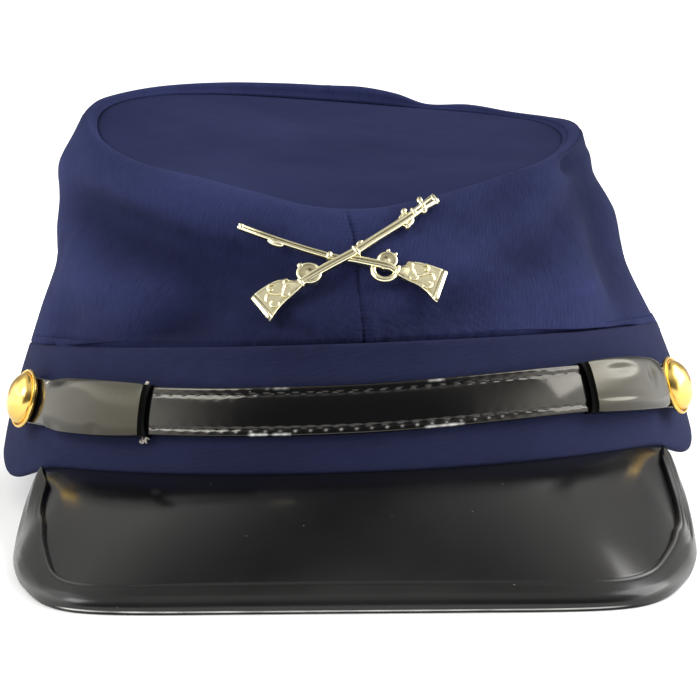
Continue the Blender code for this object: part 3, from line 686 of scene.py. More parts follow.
def foldDepth(azimuth, share):
    depth = np.zeros(np.broadcast(azimuth, share).shape)
    for middle, up, across, tall, slant, deep in crown["folds"]:
        line = np.radians(middle + slant * (share - up))
        above = (share - up) * (0.45 if slant else 1.0)  # slanting folds run on further
        depth += deep * bell(turnBetween(azimuth, line), math.radians(across)) * bell(above, tall)
    return depth * crown["foldDepth"]


def crownSmooth(azimuth, share):
    low = bandPoint(azimuth, band["height"], -crown["setback"] + 0 * azimuth)
    height = seamHeight(azimuth) + rimDepth(azimuth) + roundTable("rimWave", azimuth)
    crest = rimPoint(azimuth, 0.0, height)
    point = mix(low, crest, readTable(crown["face"], share)[0][..., None])
    point[..., 2] = mix(low[..., 2], crest[..., 2], share)
    return point


def seamLine(share):
    return np.radians(readTable(crown["seam"], share)[0])


def seamRelief(azimuth, share, line):
    # the stitched seam draws in, and the folded edge beside it stands up a little
    aside = turnBetween(azimuth, line) * mix(*crown["seamRadius"], share)
    weltAside, weltReach, weltHeight = crown["welt"]
    number, reach, height = crown["seamPuckers"]
    groove = -crown["seamDepth"] * bell(aside, crown["seamWidth"])
    welt = weltHeight * bell(aside - weltAside, weltReach)
    return groove + welt + height * np.sin(2 * np.pi * share * number) * bell(aside, reach)


def hemPuckers(azimuth, share):
    # small upright gathers where the crown goes into the band
    pitch, height, wideHeight = crown["gathers"]
    near = bell(turnBetween(azimuth, -0.05), 0.22)
    waves = np.sin(azimuth * crown["seamRadius"][0] / pitch * 2 * np.pi + 1.5 * np.sin(azimuth * 7))
    wide = np.sin(azimuth * 9 + 0.6) * np.sin(azimuth * 23)
    return bell(share, 0.16) * (height * waves * (0.25 + 0.75 * near) + wideHeight * wide)


def seamWrinkles(azimuth, share):
    # fine slanting wrinkles, on the cloth laid flat
    middle, height, reach, tall, deep = crown["wrinkles"]
    near = bell(turnBetween(azimuth, middle), reach) * bell(share - height, tall)
    across, up = azimuth * 85 * mm, share * 52 * mm
    slanted = pointsOf((across + 0.75 * up) * 3.2, (up - 0.75 * across) * 0.9, 0 * across)
    return deep * near * noiseField(slanted, 4.2 * mm, 31.0)


def overhang(azimuth, share):
    # how far the lowest cloth bulges out and sinks over the band's upper edge
    lip = eased((share - 0.035) / 0.05) * bell(np.maximum(share - 0.085, 0), 0.085)
    lip = lip * roundTable("overhang", azimuth)
    out, more, down = crown["hang"]
    out = (out + more * np.sin(azimuth)) * lip
    return pointsOf(out * np.sin(azimuth), -out * np.cos(azimuth), -down * lip)


def paintedFoldShade(azimuth, share):
    # painted shade: how much darker the cloth is painted in its folds and at its foot, 1 in a deep fold
    shade = np.clip(foldDepth(azimuth, share) / (4.5 * mm), -0.4, 1.0)
    for middle, up, across, tall, dark in crown["paintedShadeSpots"]:
        shade = shade + dark * bell(turnBetween(azimuth, middle), across) * bell(share - up, tall)
    return shade


def crownFace(azimuth, share):
    fade = np.minimum(1.0, (1.0 - share) / 0.12 + 0.25) * np.minimum(1.0, share / 0.10)
    away = pointsOf(np.sin(azimuth), -np.cos(azimuth), 0.0 * azimuth)
    points = crownSmooth(azimuth, share)
    relief = bumps(points, crown["puffs"]) * np.minimum(1.0, share / 0.08)
    relief += seamRelief(azimuth, share, seamLine(share)) + seamRelief(azimuth, share, np.pi + 0 * share)
    relief += hemPuckers(azimuth, share) + seamWrinkles(azimuth, share)
    relief -= foldDepth(azimuth, share) * fade
    return points + away * relief[..., None] + overhang(azimuth, share)


def makeCrown():
    # columns stand closer together near the front seam
    turn = 2 * np.pi * np.arange(crown["columns"]) / crown["columns"]
    azimuth = turn - 0.55 * np.sin(turn)
    hem = []
    for down in (1.0, 0.7, 0.4, 0.1):
        height = band["height"] - crown["tuck"] * down
        hem.append(bandPoint(azimuth, 0 * azimuth + height, 0 * azimuth - band["wall"] - 2 * gap))
    # rows stand closer together where the cloth hangs over the band
    low = np.linspace(0.035, 0.12, 14)[:-1]
    share = np.concatenate((low, np.linspace(0.12, 1.0, crown["rows"])))[:, None] + 0 * azimuth[None]
    around = azimuth[None] + 0 * share
    face = crownFace(around, share)
    seat, height = seamHeight(azimuth), rimDepth(azimuth) + roundTable("rimWave", azimuth)
    crest = face[-1] - rimPoint(azimuth, 0.0, seat + height)  # the folds move the rim too
    roll = []
    reach = crown["rimRoll"] + roundTable("rimWider", azimuth)
    for step in range(1, 9):
        angle = math.pi / 2 * step / 8
        inward = reach * 0.72 * math.sin(angle)
        row = rimPoint(azimuth, inward, seat + height * (1 - 0.55 * (1 - math.cos(angle))))
        roll.append(row + crest * (1 - step / 9))
    roll.append(rimPoint(azimuth, reach * 0.88, seat + height * 0.18))
    roll.append(rimPoint(azimuth, reach, seat + np.minimum(height * 0.1, 0.0)))
    points = np.concatenate((np.array(hem), face, np.array(roll)))
    faceRows = slice(len(hem), len(hem) + len(share))
    # painted shade in the folds and at the foot, for the cloth's colour
    shadeAndPatina = np.zeros(points.shape[:2])
    shadeAndPatina[faceRows] = paintedFoldShade(around, share)
    plain = points.copy()
    plain[faceRows] -= overhang(around, share)
    mesh = gridMesh("crownSide", shell(points, plain, crown["wall"], True), wrapU=True, wrapV=True)
    setShares(mesh, "shadeAndPatina", np.concatenate((shadeAndPatina, shadeAndPatina[::-1])))
    return addPiece("crownSide", mesh, crownCloth, ["crown_side"])


top = {
    "wall": 1.6 * mm,
    "sag": 2.2 * mm,
    "tuck": 0.25 * mm,  # how far its edge goes in under the rolled rim
    "groove": 0.20 * mm,  # how far its edge is drawn down
    "puffs": ((30 * mm, 11.0, 0.7 * mm), (9 * mm, 13.0, 0.12 * mm)),  # size, seed, height
    "columns": 300,
    "rows": 60,
}


def topPoint(azimuth, share):
    height = crown["height"] - top["sag"] * (1 - share**2)
    height = height - share * (crown["fall"] * np.cos(azimuth) + crown["lean"] * np.sin(azimuth))
    height = height - share**2 * crown["saddle"] * np.cos(2 * azimuth)
    height = height + share**2 * crown["twist"] * np.sin(2 * azimuth)
    height = height + share**3 * roundTable("rimLift", azimuth)
    reach = crown["rimRoll"] + roundTable("rimWider", azimuth) - top["tuck"]
    halfWidth = (crown["topWidth"] / 2 - reach) * share
    halfLength = (crown["topLength"] / 2 - reach) * share
    shift = np.array((crown["topAside"], crown["topBack"], 0.0))
    return ringPoint(azimuth, halfWidth, halfLength, height) + shift


def makeTop():
    azimuth = 2 * np.pi * np.arange(top["columns"])[None] / top["columns"]
    share = np.linspace(1.0, 0.004, top["rows"])[:, None]
    points = topPoint(azimuth + 0 * share, share + 0 * azimuth)
    points[..., 2] += bumps(points, top["puffs"]) * (1 - share**6) - top["groove"] * bell(1 - share, 0.02)
    under = points.copy()
    under[..., 2] -= top["wall"]
    mesh = gridMesh("crownTop", np.concatenate((points[::-1], under)), wrapU=True)
    # its cloth map is laid on from above
    spots = np.array([vertex.co[:2] for vertex in mesh.vertices], np.float32)
    loops = np.zeros(len(mesh.loops), np.int32)
    mesh.loops.foreach_get("vertex_index", loops)
    mesh.uv_layers.active.uv.foreach_set("vector", spots[loops].ravel())
    closeEnds(mesh, top["columns"])
    return addPiece("crownTop", mesh, topClothShaded, ["crown_top"])


def closeEnds(mesh, count):
    # fills the first and the last ring of a tube-like grid
    shape = bmesh.new()
    shape.from_mesh(mesh)
    shape.verts.ensure_lookup_table()
    total = len(shape.verts)
    uv = shape.loops.layers.uv.active
    for ring in (range(count - 1, -1, -1), range(total - count, total)):
        face = shape.faces.new([shape.verts[i] for i in ring])
        face.smooth = True
        for loop in face.loops:
            loop[uv].uv = loop.vert.co.xy
    shape.normal_update()
    bmesh.ops.recalc_face_normals(shape, faces=shape.faces)
    shape.to_mesh(mesh)
    shape.free()


makeCrown()
makeTop()


peak = {
    "wall": 1.2 * mm,
    "halfWidth": 79.4 * mm,
    "reach": 32 * mm,
    "arch": 2.2 * mm,
    "skew": -3.4 * mm,
    "rootAt": math.radians(57),  # the azimuth where it leaves the band
    "seatGap": -0.25 * mm,
    "puffs": ((40 * mm, 17.0, 0.14 * mm),),  # size, seed, height
    "groove": (0.06, 0.60, 0.30),  # depth beside the binding in mm: front, more at -X, more at +X
    # place along the edge, share of the half width, share of the way forward, how far down it is
    "outline": (
        (0.00, 0.00, 1.000, 1.0),
        (0.18, 0.30, 1.000, 1.0),
        (0.36, 0.60, 0.995, 1.0),
        (0.46, 0.739, 0.965, 1.0),
        (0.55, 0.828, 0.891, 1.0),
        (0.64, 0.891, 0.774, 1.0),
        (0.74, 0.945, 0.623, 1.0),
        (0.85, 0.986, 0.396, 1.0),
        (0.93, 0.99, 0.200, 0.62),
        (1.00, 0.955, 0.000, 0.18),
    ),
}

binding = {
    "width": 5.0 * mm,
    "widerLeft": 4.2 * mm,  # how much wider it is along each side, as seen from the front
    "widerRight": 1.4 * mm,
    "wall": 0.8 * mm,
    "stop": 0.95,  # it ends at this share of each half of the edge
    "corner": 0.45 * mm,
    # its outer edge: in from where it stands out most and down from its upper face, in mm
    "slope": (
        (0.0, 1.95), (0.0, 1.80), (0.05, 1.66), (0.14, 1.50), (0.30, 1.15),
        (0.62, 0.70), (1.1, 0.35), (1.7, 0.13), (2.4, 0.03),
    ),
    "swell": 0.18 * mm,
    "seam": 0.22 * mm,  # depth of the sewn line along its inner edge
    # place along the edge, its reach, inward distance in mm, its slant, depth in mm
    "pleats": (
        (-0.91, 0.07, 2.0, 9.0, 0.55),
        (0.88, 0.10, 1.9, -9.0, 0.55),
        (0.90, 0.08, 3.4, -4.0, 0.45),
    ),
    "paintedGlint": (1.72 * mm, 0.13 * mm),  # the painted highlight line: down from the upper face, half its width
    "glintFrom": -0.50,
    "glintTo": 0.45,
}


def peakOutline(place):
    across, forward, drop = readTable(peak["outline"], np.abs(place))
    rootY = math.cos(peak["rootAt"]) * head["length"] / 2
    x = np.sign(place) * across * peak["halfWidth"] + peak["skew"] * forward
    y = -rootY - (head["length"] / 2 + peak["reach"] - rootY) * forward
    low = groundHeight(x, y) + peak["wall"] + gap + binding["wall"] - head["footDepth"]
    high = -bandDrop(np.array(peak["rootAt"]))
    return pointsOf(x, y, mix(high, low, drop))


def peakRoot(place):
    azimuth = place * peak["rootAt"]
    root = bandPoint(azimuth, 0 * azimuth, 0 * azimuth - band["wall"])
    root[..., 2] = -bandDrop(azimuth) - peak["seatGap"]
    return root


def peakPoint(place, share):
    root, edge = peakRoot(place), peakOutline(place)
    seat = np.minimum(1.2 * band["wall"] / np.linalg.norm(edge - root, axis=-1), 0.8)
    free = np.maximum(0.0, share - seat) / (1 - seat)
    point = mix(root, edge, share[..., None])
    point[..., 2] = mix(root[..., 2], edge[..., 2], free) + peak["arch"] * np.sin(np.pi * free)
    return point


def peakShare(place, inward):
    edge = peakOutline(place)
    along = unit(peakOutline(place + 0.01) - peakOutline(place - 0.01))
    depth = np.linalg.norm(np.cross(peakRoot(place) - edge, along), axis=-1)
    return 1 - np.minimum(inward / depth, 0.6)


def peakNormal(place, share):
    along = peakPoint(place + 0.01, share) - peakPoint(place - 0.01, share)
    inward = peakPoint(place, share - 0.04) - peakPoint(place, share)
    return unit(np.cross(along, inward))


def bindingWidth(place):
    wider = np.where(place < 0, binding["widerLeft"], binding["widerRight"])
    return binding["width"] + wider * eased((np.abs(place) - 0.50) / 0.28)


def makePeak():
    place = np.linspace(-1, 1, 301)[None]
    bound = peakShare(place, bindingWidth(place))
    rows = []
    for inward in np.linspace(0, 1, 8)[:-1]:
        share = peakShare(place, inward * bindingWidth(place))
        rows.append(peakPoint(place, share)[0])
    for part in np.concatenate((np.linspace(1, 0.9, 10), np.linspace(0.9, 0, 36)[1:])):
        rows.append(peakPoint(place, bound * part)[0])
    points = np.array(rows)
    # uneven inside its edges, with a groove where the binding ends
    row = np.arange(len(rows))[:, None]
    wave = bumps(points, peak["puffs"]) * np.clip(row / 12, 0, 1) * np.clip((len(rows) - 1 - row) / 8, 0, 1)
    depth = np.linalg.norm(points - peakOutline(place), axis=-1)
    front, left, right = peak["groove"]
    deep = front + np.clip((np.abs(place) - 0.42) / 0.15, 0, 1) * np.where(place < 0, left, right)
    points[..., 2] += wave - bell(depth - bindingWidth(place) - 0.35 * mm, 0.42 * mm) * deep * mm
    normals = gridNormals(points, False)
    if normals[len(rows) // 2, 150, 2] < 0:
        normals = -normals
    under = points - normals * peak["wall"]
    grid = np.concatenate((points, under[::-1]))
    mesh = gridMesh("peakSheet", grid, wrapV=True)
    return addPiece("peakSheet", closedSides(mesh, grid.shape), peakVinyl, ["peak"], sharp=50)


def closedSides(mesh, shape):
    # fills the two ends of a bar whose section is closed
    rows, count = shape[:2]
    sides = ([r * count for r in range(rows)][::-1], [r * count + count - 1 for r in range(rows)])
    solid = bmesh.new()
    solid.from_mesh(mesh)
    solid.verts.ensure_lookup_table()
    for side in sides:
        face = solid.faces.new([solid.verts[i] for i in side])
        face.smooth = False
    bmesh.ops.triangulate(solid, faces=[f for f in solid.faces if len(f.verts) > 4])
    bmesh.ops.recalc_face_normals(solid, faces=solid.faces)
    solid.to_mesh(mesh)
    solid.free()
    return mesh


def edgePoint(place, inward, height):
    # a point by its distance in from the peak's edge and its height over the peak
    share = peakShare(place, np.maximum(inward, 0.0) + 0 * place)
    normal = peakNormal(place, share)
    along = peakOutline(place + 0.01) - peakOutline(place - 0.01)
    outward = unit(np.cross(along, normal))
    past = np.minimum(inward, 0.0) + 0 * place
    return peakPoint(place, share) + normal * height[..., None] - outward * past[..., None]


def bindingSection():
    # inward and height round the folded strip, from under the peak to its upper face
    upper = gap + binding["wall"]
    low = -peak["wall"] - upper
    corner = binding["corner"]
    edge = -gap - binding["wall"]  # how far it stands out past the peak
    thin = 0.06 * mm  # room between the strip and the peak
    loop = []
    for step in range(6):
        loop.append((mix(binding["width"], edge + corner, step / 6), low))
    for step in range(6):
        angle = math.pi / 2 * step / 5
        loop.append((edge + corner * (1 - math.sin(angle)), low + corner * (1 - math.cos(angle))))
    loop += [(edge + past * mm, upper - down * mm) for past, down in binding["slope"]]
    start = edge + binding["slope"][-1][0] * mm
    for step in range(1, 20):
        loop.append((mix(start, binding["width"] - 0.25 * mm, step / 19), upper))
    loop.append((binding["width"] - 0.05 * mm, upper - 0.12 * mm))
    loop.append((binding["width"] + 0.02 * mm, upper - 0.40 * mm))
    loop.append((binding["width"] - 0.05 * mm, thin))
    loop += [(inward * mm, thin) for inward in (0.5, -0.2)]
    loop += [(inward * mm, -peak["wall"] - thin) for inward in (-0.2, 0.5)]
    loop.append((binding["width"], -peak["wall"] - thin))
    return np.array(loop)


def bindingRelief(place, inward):
    # the strip swells between its edge and the seam, and its ends are pleated
    width = bindingWidth(place)
    share = np.clip((inward + 1.1 * mm) / (width + 1.1 * mm), 0, 1)
    relief = binding["swell"] * np.sin(np.pi * share)
    relief = relief - binding["seam"] * bell(inward - width + 0.9 * mm, 0.28 * mm)
    for at, reach, middle, slant, deep in binding["pleats"]:
        line = (middle + slant * (place - at)) * mm
        relief = relief - deep * mm * bell(place - at, reach) * bell(inward - line, 0.42 * mm)
    return relief


def makeBinding():
    place = np.linspace(-binding["stop"], binding["stop"], 421)[None]
    loop = bindingSection()
    inward, height = loop[:, :1] + 0 * place, loop[:, 1:] + 0 * place
    inward = np.where(inward > 0, inward * bindingWidth(place) / binding["width"], inward)
    upper = (height > gap + binding["wall"] - 0.2 * mm) * 1.0
    height = height + bindingRelief(place + 0 * inward, inward) * upper
    points = edgePoint(place + 0 * inward, inward, height)
    mesh = gridMesh("peakBinding", ontoFloor(points), wrapV=True)
    mesh = closedSides(mesh, points.shape)
    # a thin painted highlight line along the front's upper edge, over a dull black edge
    down = gap + binding["wall"] - loop[:, 1:]
    outside = loop[:, :1] < 0.1 * mm - gap - binding["wall"]
    glintDown, glintReach = binding["paintedGlint"]
    line = bell(down - glintDown, glintReach) * outside
    front = np.clip((place - binding["glintFrom"]) / 0.03, 0, 1)
    front = front * np.clip((binding["glintTo"] - place) / 0.05, 0, 1)
    patchy = 0.62 + 0.5 * noiseField(pointsOf(place * 100 * mm, 0 * place, 0 * place), 6 * mm, 41.0)
    setShares(mesh, "paintedGlint", line * front * np.clip(patchy, 0.15, 1.0))
    setShares(mesh, "dull", np.clip((down - 1.75 * mm) / (0.15 * mm), 0, 1) * outside + 0 * place)
    return addPiece("peakBinding", mesh, bindingVinyl, ["peak_binding"], sharp=60)


makePeak()
makeBinding()


strap = {
    "width": 11.0 * mm,
    "wall": 1.4 * mm,
    "endAt": math.radians(66),
    "settle": math.radians(16),  # over which it lies down on the band past a keeper
    "tip": 0.93,  # share of its half length where the ends begin to taper
    "round": 0.4 * mm,
    # share of its half length, share of the band's height
    "route": ((-1.0, 0.53), (-0.5, 0.49), (0.0, 0.49), (0.45, 0.53), (0.75, 0.50), (1.0, 0.39)),
    "bend": 95 * mm,  # radius for lengths along it
    "groove": 0.17 * mm,  # depth of the stitched grooves
    "panel": 0.10 * mm,  # height of the middle between them
    "puffs": ((22 * mm, 23.0, 0.10 * mm),),  # size, seed, height
    # lengths of painted glints: from and to in degrees, the edge (1 is the upper), how bright
    "glintLengths": (
        (-15.3, -8.9, -1, 1.0),
        (9.3, 15.4, -1, 0.9),
        (-13.0, -9.2, 1, 0.35),
        (10.4, 13.2, 1, 0.6),
    ),
    "glintDots": 0.42,  # how bright the row of painted glint dots at the lower stitches is
}

stitch = {
    "inset": 1.7 * mm,
    "pitch": 3.5 * mm,
    "length": 2.5 * mm,
    "radius": 0.22 * mm,
    "lift": (-0.50, -0.22, -0.14, -0.22, -0.50),  # over the strap's face from end to end, in mm
    "sway": 0.10 * mm,
}

keeper = {
    "wall": 0.8 * mm,
    "puff": 0.8 * mm,
    "belly": 0.45 * mm,  # how much further its middle stands out than its ends
    "innerAt": math.radians(34),  # its ends, and how far each pair lies nearer to +X
    "innerShift": math.radians(2.72),
    "outerAt": math.radians(53.2),
    "outerShift": math.radians(1.8),
    "bend": 92 * mm,
    "backing": (-0.2 * mm, 1.3 * mm),  # how far the cut edge's backing goes in and stands out
    # share of the way out to the button, share of the half width up, reach each way, depth in mm
    "dents": {
        "keeperRight": (
            (0.40, -0.86, 0.05, 0.16, 0.22),
            (0.30, 0.10, 0.30, 0.50, -0.15),
            (0.62, 0.30, 0.16, 0.30, 0.10),
            (0.88, 0.95, 0.10, 0.22, 0.55),
            (0.88, -0.95, 0.10, 0.22, 0.45),
        ),
        "keeperLeft": (
            (0.34, 0.60, 0.17, 0.20, 0.34),
            (0.28, -0.48, 0.26, 0.09, 0.20),
            (0.30, -0.72, 0.26, 0.10, -0.12),
            (0.76, 0.25, 0.05, 0.40, 0.32),
            (0.88, 0.55, 0.06, 0.30, -0.20),
            (0.60, -0.15, 0.14, 0.12, 0.16),
        ),
    },
}


def strapMiddle(azimuth):
    return readTable(strap["route"], azimuth / strap["endAt"])[0] * band["height"]


def strapStand(azimuth):
    near = (np.abs(azimuth) - keeper["innerAt"]) / strap["settle"] + 1
    return gap + (keeper["wall"] + gap) * eased(near)


def strapFacePoint(azimuth, across, out):
    stand = strapStand(azimuth)
    return bandPoint(azimuth, strapMiddle(azimuth) + across, stand + out)


def strapRelief(across, length):
    # a raised middle between two stitched grooves, and edges that pucker at each stitch
    line = strap["width"] / 2 - stitch["inset"]
    beat = np.cos(2 * np.pi * length / stitch["pitch"])
    aside = np.abs(across) - line
    groove = -strap["groove"] * bell(aside, 0.36 * mm) * (0.75 + 0.25 * beat)
    pucker = bell(aside - 1.0 * mm, 0.75 * mm) * (0.03 + 0.018 * beat) * mm
    panel = strap["panel"] * np.clip(1 - (across / line) ** 2, 0, 1)
    inside = 0.008 * mm * beat * bell(aside + 0.9 * mm, 0.6 * mm)
    return groove + pucker + panel + inside


def strapGlints(flat, azimuth, front):
    # painted glints: bright beads along the lower edge, and two short ones along the upper edge
    degrees = np.degrees(azimuth)
    length = azimuth * strap["bend"]
    uneven = noiseField(pointsOf(length, 0 * length, 0 * length), 2.6 * mm, 51.0)
    beat = np.clip(0.62 + 0.9 * uneven, 0, 1)
    dots = (0.5 + 0.5 * np.cos(2 * np.pi * length / stitch["pitch"])) ** 12
    paintedGlint = 0
    for start, end, side, strength in strap["glintLengths"]:
        inside = np.clip((degrees - start) / 0.8, 0, 1) * np.clip((end - degrees) / 0.8, 0, 1)
        reach = (0.14 + 0.14 * beat) * mm
        line = bell(side * flat - strap["width"] / 2 + 0.42 * mm, reach)
        paintedGlint = paintedGlint + strength * inside * line * beat
    near = bell(flat + strap["width"] / 2 - 1.1 * mm, 0.22 * mm) * np.clip((24 - np.abs(degrees)) / 4, 0, 1)
    return (paintedGlint + strap["glintDots"] * near * dots * beat) * front


def makeStrap():
    share = np.linspace(-1, 1, 861)[None]
    azimuth = strap["endAt"] * share
    past = np.maximum(0.0, np.abs(share) - strap["tip"]) / (1 - strap["tip"])
    taper = np.sqrt(1 - 0.9 * past**2)
    loop = roundedSection(strap["width"], strap["wall"], strap["round"], 44, 6, 4)[::-1]
    flat = loop[:, :1] - strap["width"] / 2
    across, out = flat * taper, loop[:, 1:] + 0 * share
    front = np.clip((out - strap["wall"] / 2) / (strap["wall"] / 2), 0, 1)
    innerAt = keeper["innerAt"] + np.sign(azimuth) * keeper["innerShift"]
    free = np.clip((innerAt + 0.02 - np.abs(azimuth)) / 0.02, 0, 1)
    out = out + strapRelief(flat, azimuth * strap["bend"]) * front * free
    points = strapFacePoint(azimuth + 0 * across, across, out)
    wave = bumps(points, strap["puffs"]) * front
    points += bandOutward(azimuth + 0 * across) * wave[..., None]
    mesh = gridMesh("chinStrap", points, wrapV=True)
    mesh = closedSides(mesh, points.shape)
    setShares(mesh, "paintedGlint", strapGlints(flat, azimuth, front))
    return addPiece("chinStrap", mesh, strapVinyl, ["chin_strap"], sharp=60)


def tubeAlong(name, path, radius, sides=6):
    # a thread: a closed tube round a short path
    path = np.array(path, float)
    ahead = unit(np.gradient(path, axis=0))
    side = unit(np.cross(ahead, np.array((0.0, 0.31, 0.95))))
    other = np.cross(ahead, side)
    fromEnd = np.minimum(np.arange(len(path)), np.arange(len(path))[::-1])
    reach = radius * np.minimum(1.0, fromEnd * 0.45 + 0.35)[:, None]
    rings = []
    for step in range(sides):
        angle = 2 * math.pi * step / sides
        rings.append(path + (side * math.cos(angle) + other * math.sin(angle)) * reach)
    points = np.array(rings)
    mesh = gridMesh(name, points, wrapV=True)
    return closedSides(mesh, points.shape)


def makeStitches():
    # short threads that dive into the vinyl at both ends
    threads = []
    reach = strap["width"] / 2 - stitch["inset"]
    start = keeper["innerShift"] - keeper["innerAt"] + 0.01
    end = keeper["innerShift"] + keeper["innerAt"] - 0.01
    steps = int((end - start) * keeper["bend"] / stitch["pitch"])
    half = stitch["length"] / 2 / strap["bend"]
    lift = np.array(stitch["lift"]) * mm
    for side in (-1, 1):
        for step in range(steps):
            middle = mix(start, end, (step + 0.5) / steps)
            azimuth = np.linspace(middle - half, middle + half, len(lift))
            across = side * reach + stitch["sway"] * math.sin(step * 1.7 + side)
            path = strapFacePoint(azimuth, 0 * azimuth + across, strap["wall"] + lift)
            threads.append(tubeAlong("stitch", path, stitch["radius"]))
    return addPiece("strapStitches", threads, blackThread)


def keeperSection(steps):
    # across and out round the sleeve, as shares, going up the front and down the back
    half = strap["width"] / 2 + gap
    back = gap + keeper["wall"]
    front = gap + keeper["wall"] + gap + strap["wall"] + gap
    loop = []
    for step in range(steps):
        angle = math.pi * (step / (steps - 1) - 0.5)
        across = half * math.copysign(abs(math.sin(angle)) ** 0.75, math.sin(angle))
        loop.append((across, front + keeper["puff"] * 1.25 * math.cos(angle) ** 0.8))
    for step in range(8):
        loop.append((mix(half, -half, step / 7), back))
    return np.array(loop)


def makeKeeper(name, node, side):
    loop = keeperSection(40)
    innerAt = keeper["innerAt"] + side * keeper["innerShift"]
    outerAt = keeper["outerAt"] + side * keeper["outerShift"]
    azimuth = side * np.linspace(innerAt, outerAt, 120)
    if side < 0:
        azimuth = azimuth[::-1]
    azimuth = azimuth[:, None]
    across, out = loop[None, :, 0] + 0 * azimuth, loop[None, :, 1] + 0 * azimuth
    front = np.clip((out - 2.2 * mm) / (1 * mm), 0, 1)
    share = (np.abs(azimuth) - innerAt) / (outerAt - innerAt)
    up = across / (strap["width"] / 2)
    relief = keeper["belly"] * np.sin(np.pi * np.clip(share * 0.92 + 0.06, 0, 1))
    for alongAt, upAt, alongReach, upReach, deep in keeper["dents"][name]:
        relief = relief - deep * mm * bell(share - alongAt, alongReach) * bell(up - upAt, upReach)
    # both ends draw in a little, the outer one with round corners
    narrow = 1 + 0.10 * np.sin(np.pi * share) ** 0.5 - 0.10 * np.clip((share - 0.82) / 0.18, 0, 1) ** 2
    height = strapMiddle(azimuth) + across * narrow
    outer = bandPoint(azimuth + 0 * across, height, out + (relief + keeper["wall"]) * front)
    inner = bandPoint(azimuth + 0 * across, strapMiddle(azimuth) + across, out)
    mesh = gridMesh(name, np.concatenate((outer, inner[::-1])), wrapU=True, wrapV=True)
    piece = addPiece(name, mesh, keeperVinyl, [node], sharp=60)
    makeCutEdge(name + "Edge", side, innerAt, loop)
    return piece


def makeCutEdge(name, side, innerAt, loop):
    # the dull backing of the vinyl, which stands out of the keeper's inner end, near black as painted shade
    # for the dark gap there
    reach = np.linspace(*keeper["backing"], 12)[:, None] / keeper["bend"]
    azimuth = side * (innerAt - reach)
    if side > 0:
        azimuth = azimuth[::-1]
    up = loop[None, :, 0] / (strap["width"] / 2)
    azimuth = azimuth + side * 0.006 * (1 - up**2) * (np.abs(azimuth) < innerAt - 0.01)
    out = loop[None, :, 1] - gap * 0.4 + 0 * azimuth
    across = loop[None, :, 0] * 1.01 + 0 * azimuth
    stand = strapStand(azimuth) - strapStand(np.array(keeper["innerAt"]))
    outer = bandPoint(azimuth, strapMiddle(azimuth) + across, out + stand * 0.5 + 0.10 * mm)
    inner = bandPoint(azimuth, strapMiddle(azimuth) + across * 0.97, out + stand * 0.5 - 0.25 * mm)
    mesh = gridMesh(name, np.concatenate((outer, inner[::-1])), wrapU=True, wrapV=True)
    return addPiece(name, mesh, shadeBackingCloth)


threadEnds = {
    "radius": 0.24 * mm,
    "bend": 90 * mm,
    # azimuth in degrees, share of the strap's half width up, number of ends, length in mm
    "spots": (
        (-32.1, 1.13, 3, 1.5),
        (-31.5, -1.20, 5, 2.4),
        (-52.6, 0.85, 2, 1.2),
        (56.0, 0.65, 2, 1.0),
    ),
}


def makeThreadEnds():
    # loose ends of the sewing thread at the keepers and the buttons
    threads = []
    for at, (degrees, up, count, length) in enumerate(threadEnds["spots"]):
        for end in range(count):
            turn = 2.4 * end + 1.3 * at
            step = np.linspace(0, 1, 8)
            along = step * length * math.cos(turn) * 0.5 + 0.3 * end - 0.4
            azimuth = math.radians(degrees) + along * mm / threadEnds["bend"]
            across = strap["width"] / 2 * up + (np.sin(3 * step + turn) * 0.25 * length) * mm
            out = keeper["wall"] + 2.4 * mm * (abs(up) < 1) + (0.25 + 0.5 * np.sin(np.pi * step)) * mm
            path = bandPoint(azimuth, strapMiddle(azimuth) + across, out)
            threads.append(tubeAlong("thread", path, threadEnds["radius"]))
    return addPiece("threadEnds", threads, paleThread)


makeStrap()
makeStitches()
makeKeeper("keeperRight", "strap_keeper_right", -1)
makeKeeper("keeperLeft", "strap_keeper_left", 1)
makeThreadEnds()


button = {
    "radius": 7.4 * mm,
    "dome": 3.6 * mm,
    "rim": 0.9 * mm,
    "at": math.radians(60.1),
    # the rim from the dome outwards: shares of the radius and of the rim's height
    "rimForm": (
        (0.865, 0.86), (0.885, 0.80), (0.905, 0.98), (0.93, 1.28), (0.96, 1.30),
        (0.99, 1.05), (1.0, 0.7), (0.99, 0.2), (0.95, 0.0),
    ),
    "sides": 64,
    "shank": 1.5 * mm,  # its radius
    "shankLength": 6.2 * mm,
}


def frameAt(centre, outward):
    # a 4 by 4 matrix whose Z looks outward and whose Y looks up
    z = unit(np.array(outward, float))
    x = unit(np.cross((0.0, 0.0, 1.0), z))
    made = np.eye(4)
    made[:3, 0], made[:3, 1], made[:3, 2], made[:3, 3] = x, np.cross(z, x), z, centre
    return made


def turned(name, outline, place, sides):
    # turns an outline of radius and height round the Z of a place
    angle = 2 * np.pi * np.arange(sides)[None] / sides
    radius, height = np.array(outline)[:, :1], np.array(outline)[:, 1:]
    points = pointsOf(radius * np.cos(angle), radius * np.sin(angle), height + 0 * angle)
    points = points @ place[:3, :3].T + place[:3, 3]
    return gridMesh(name, points, wrapU=True)


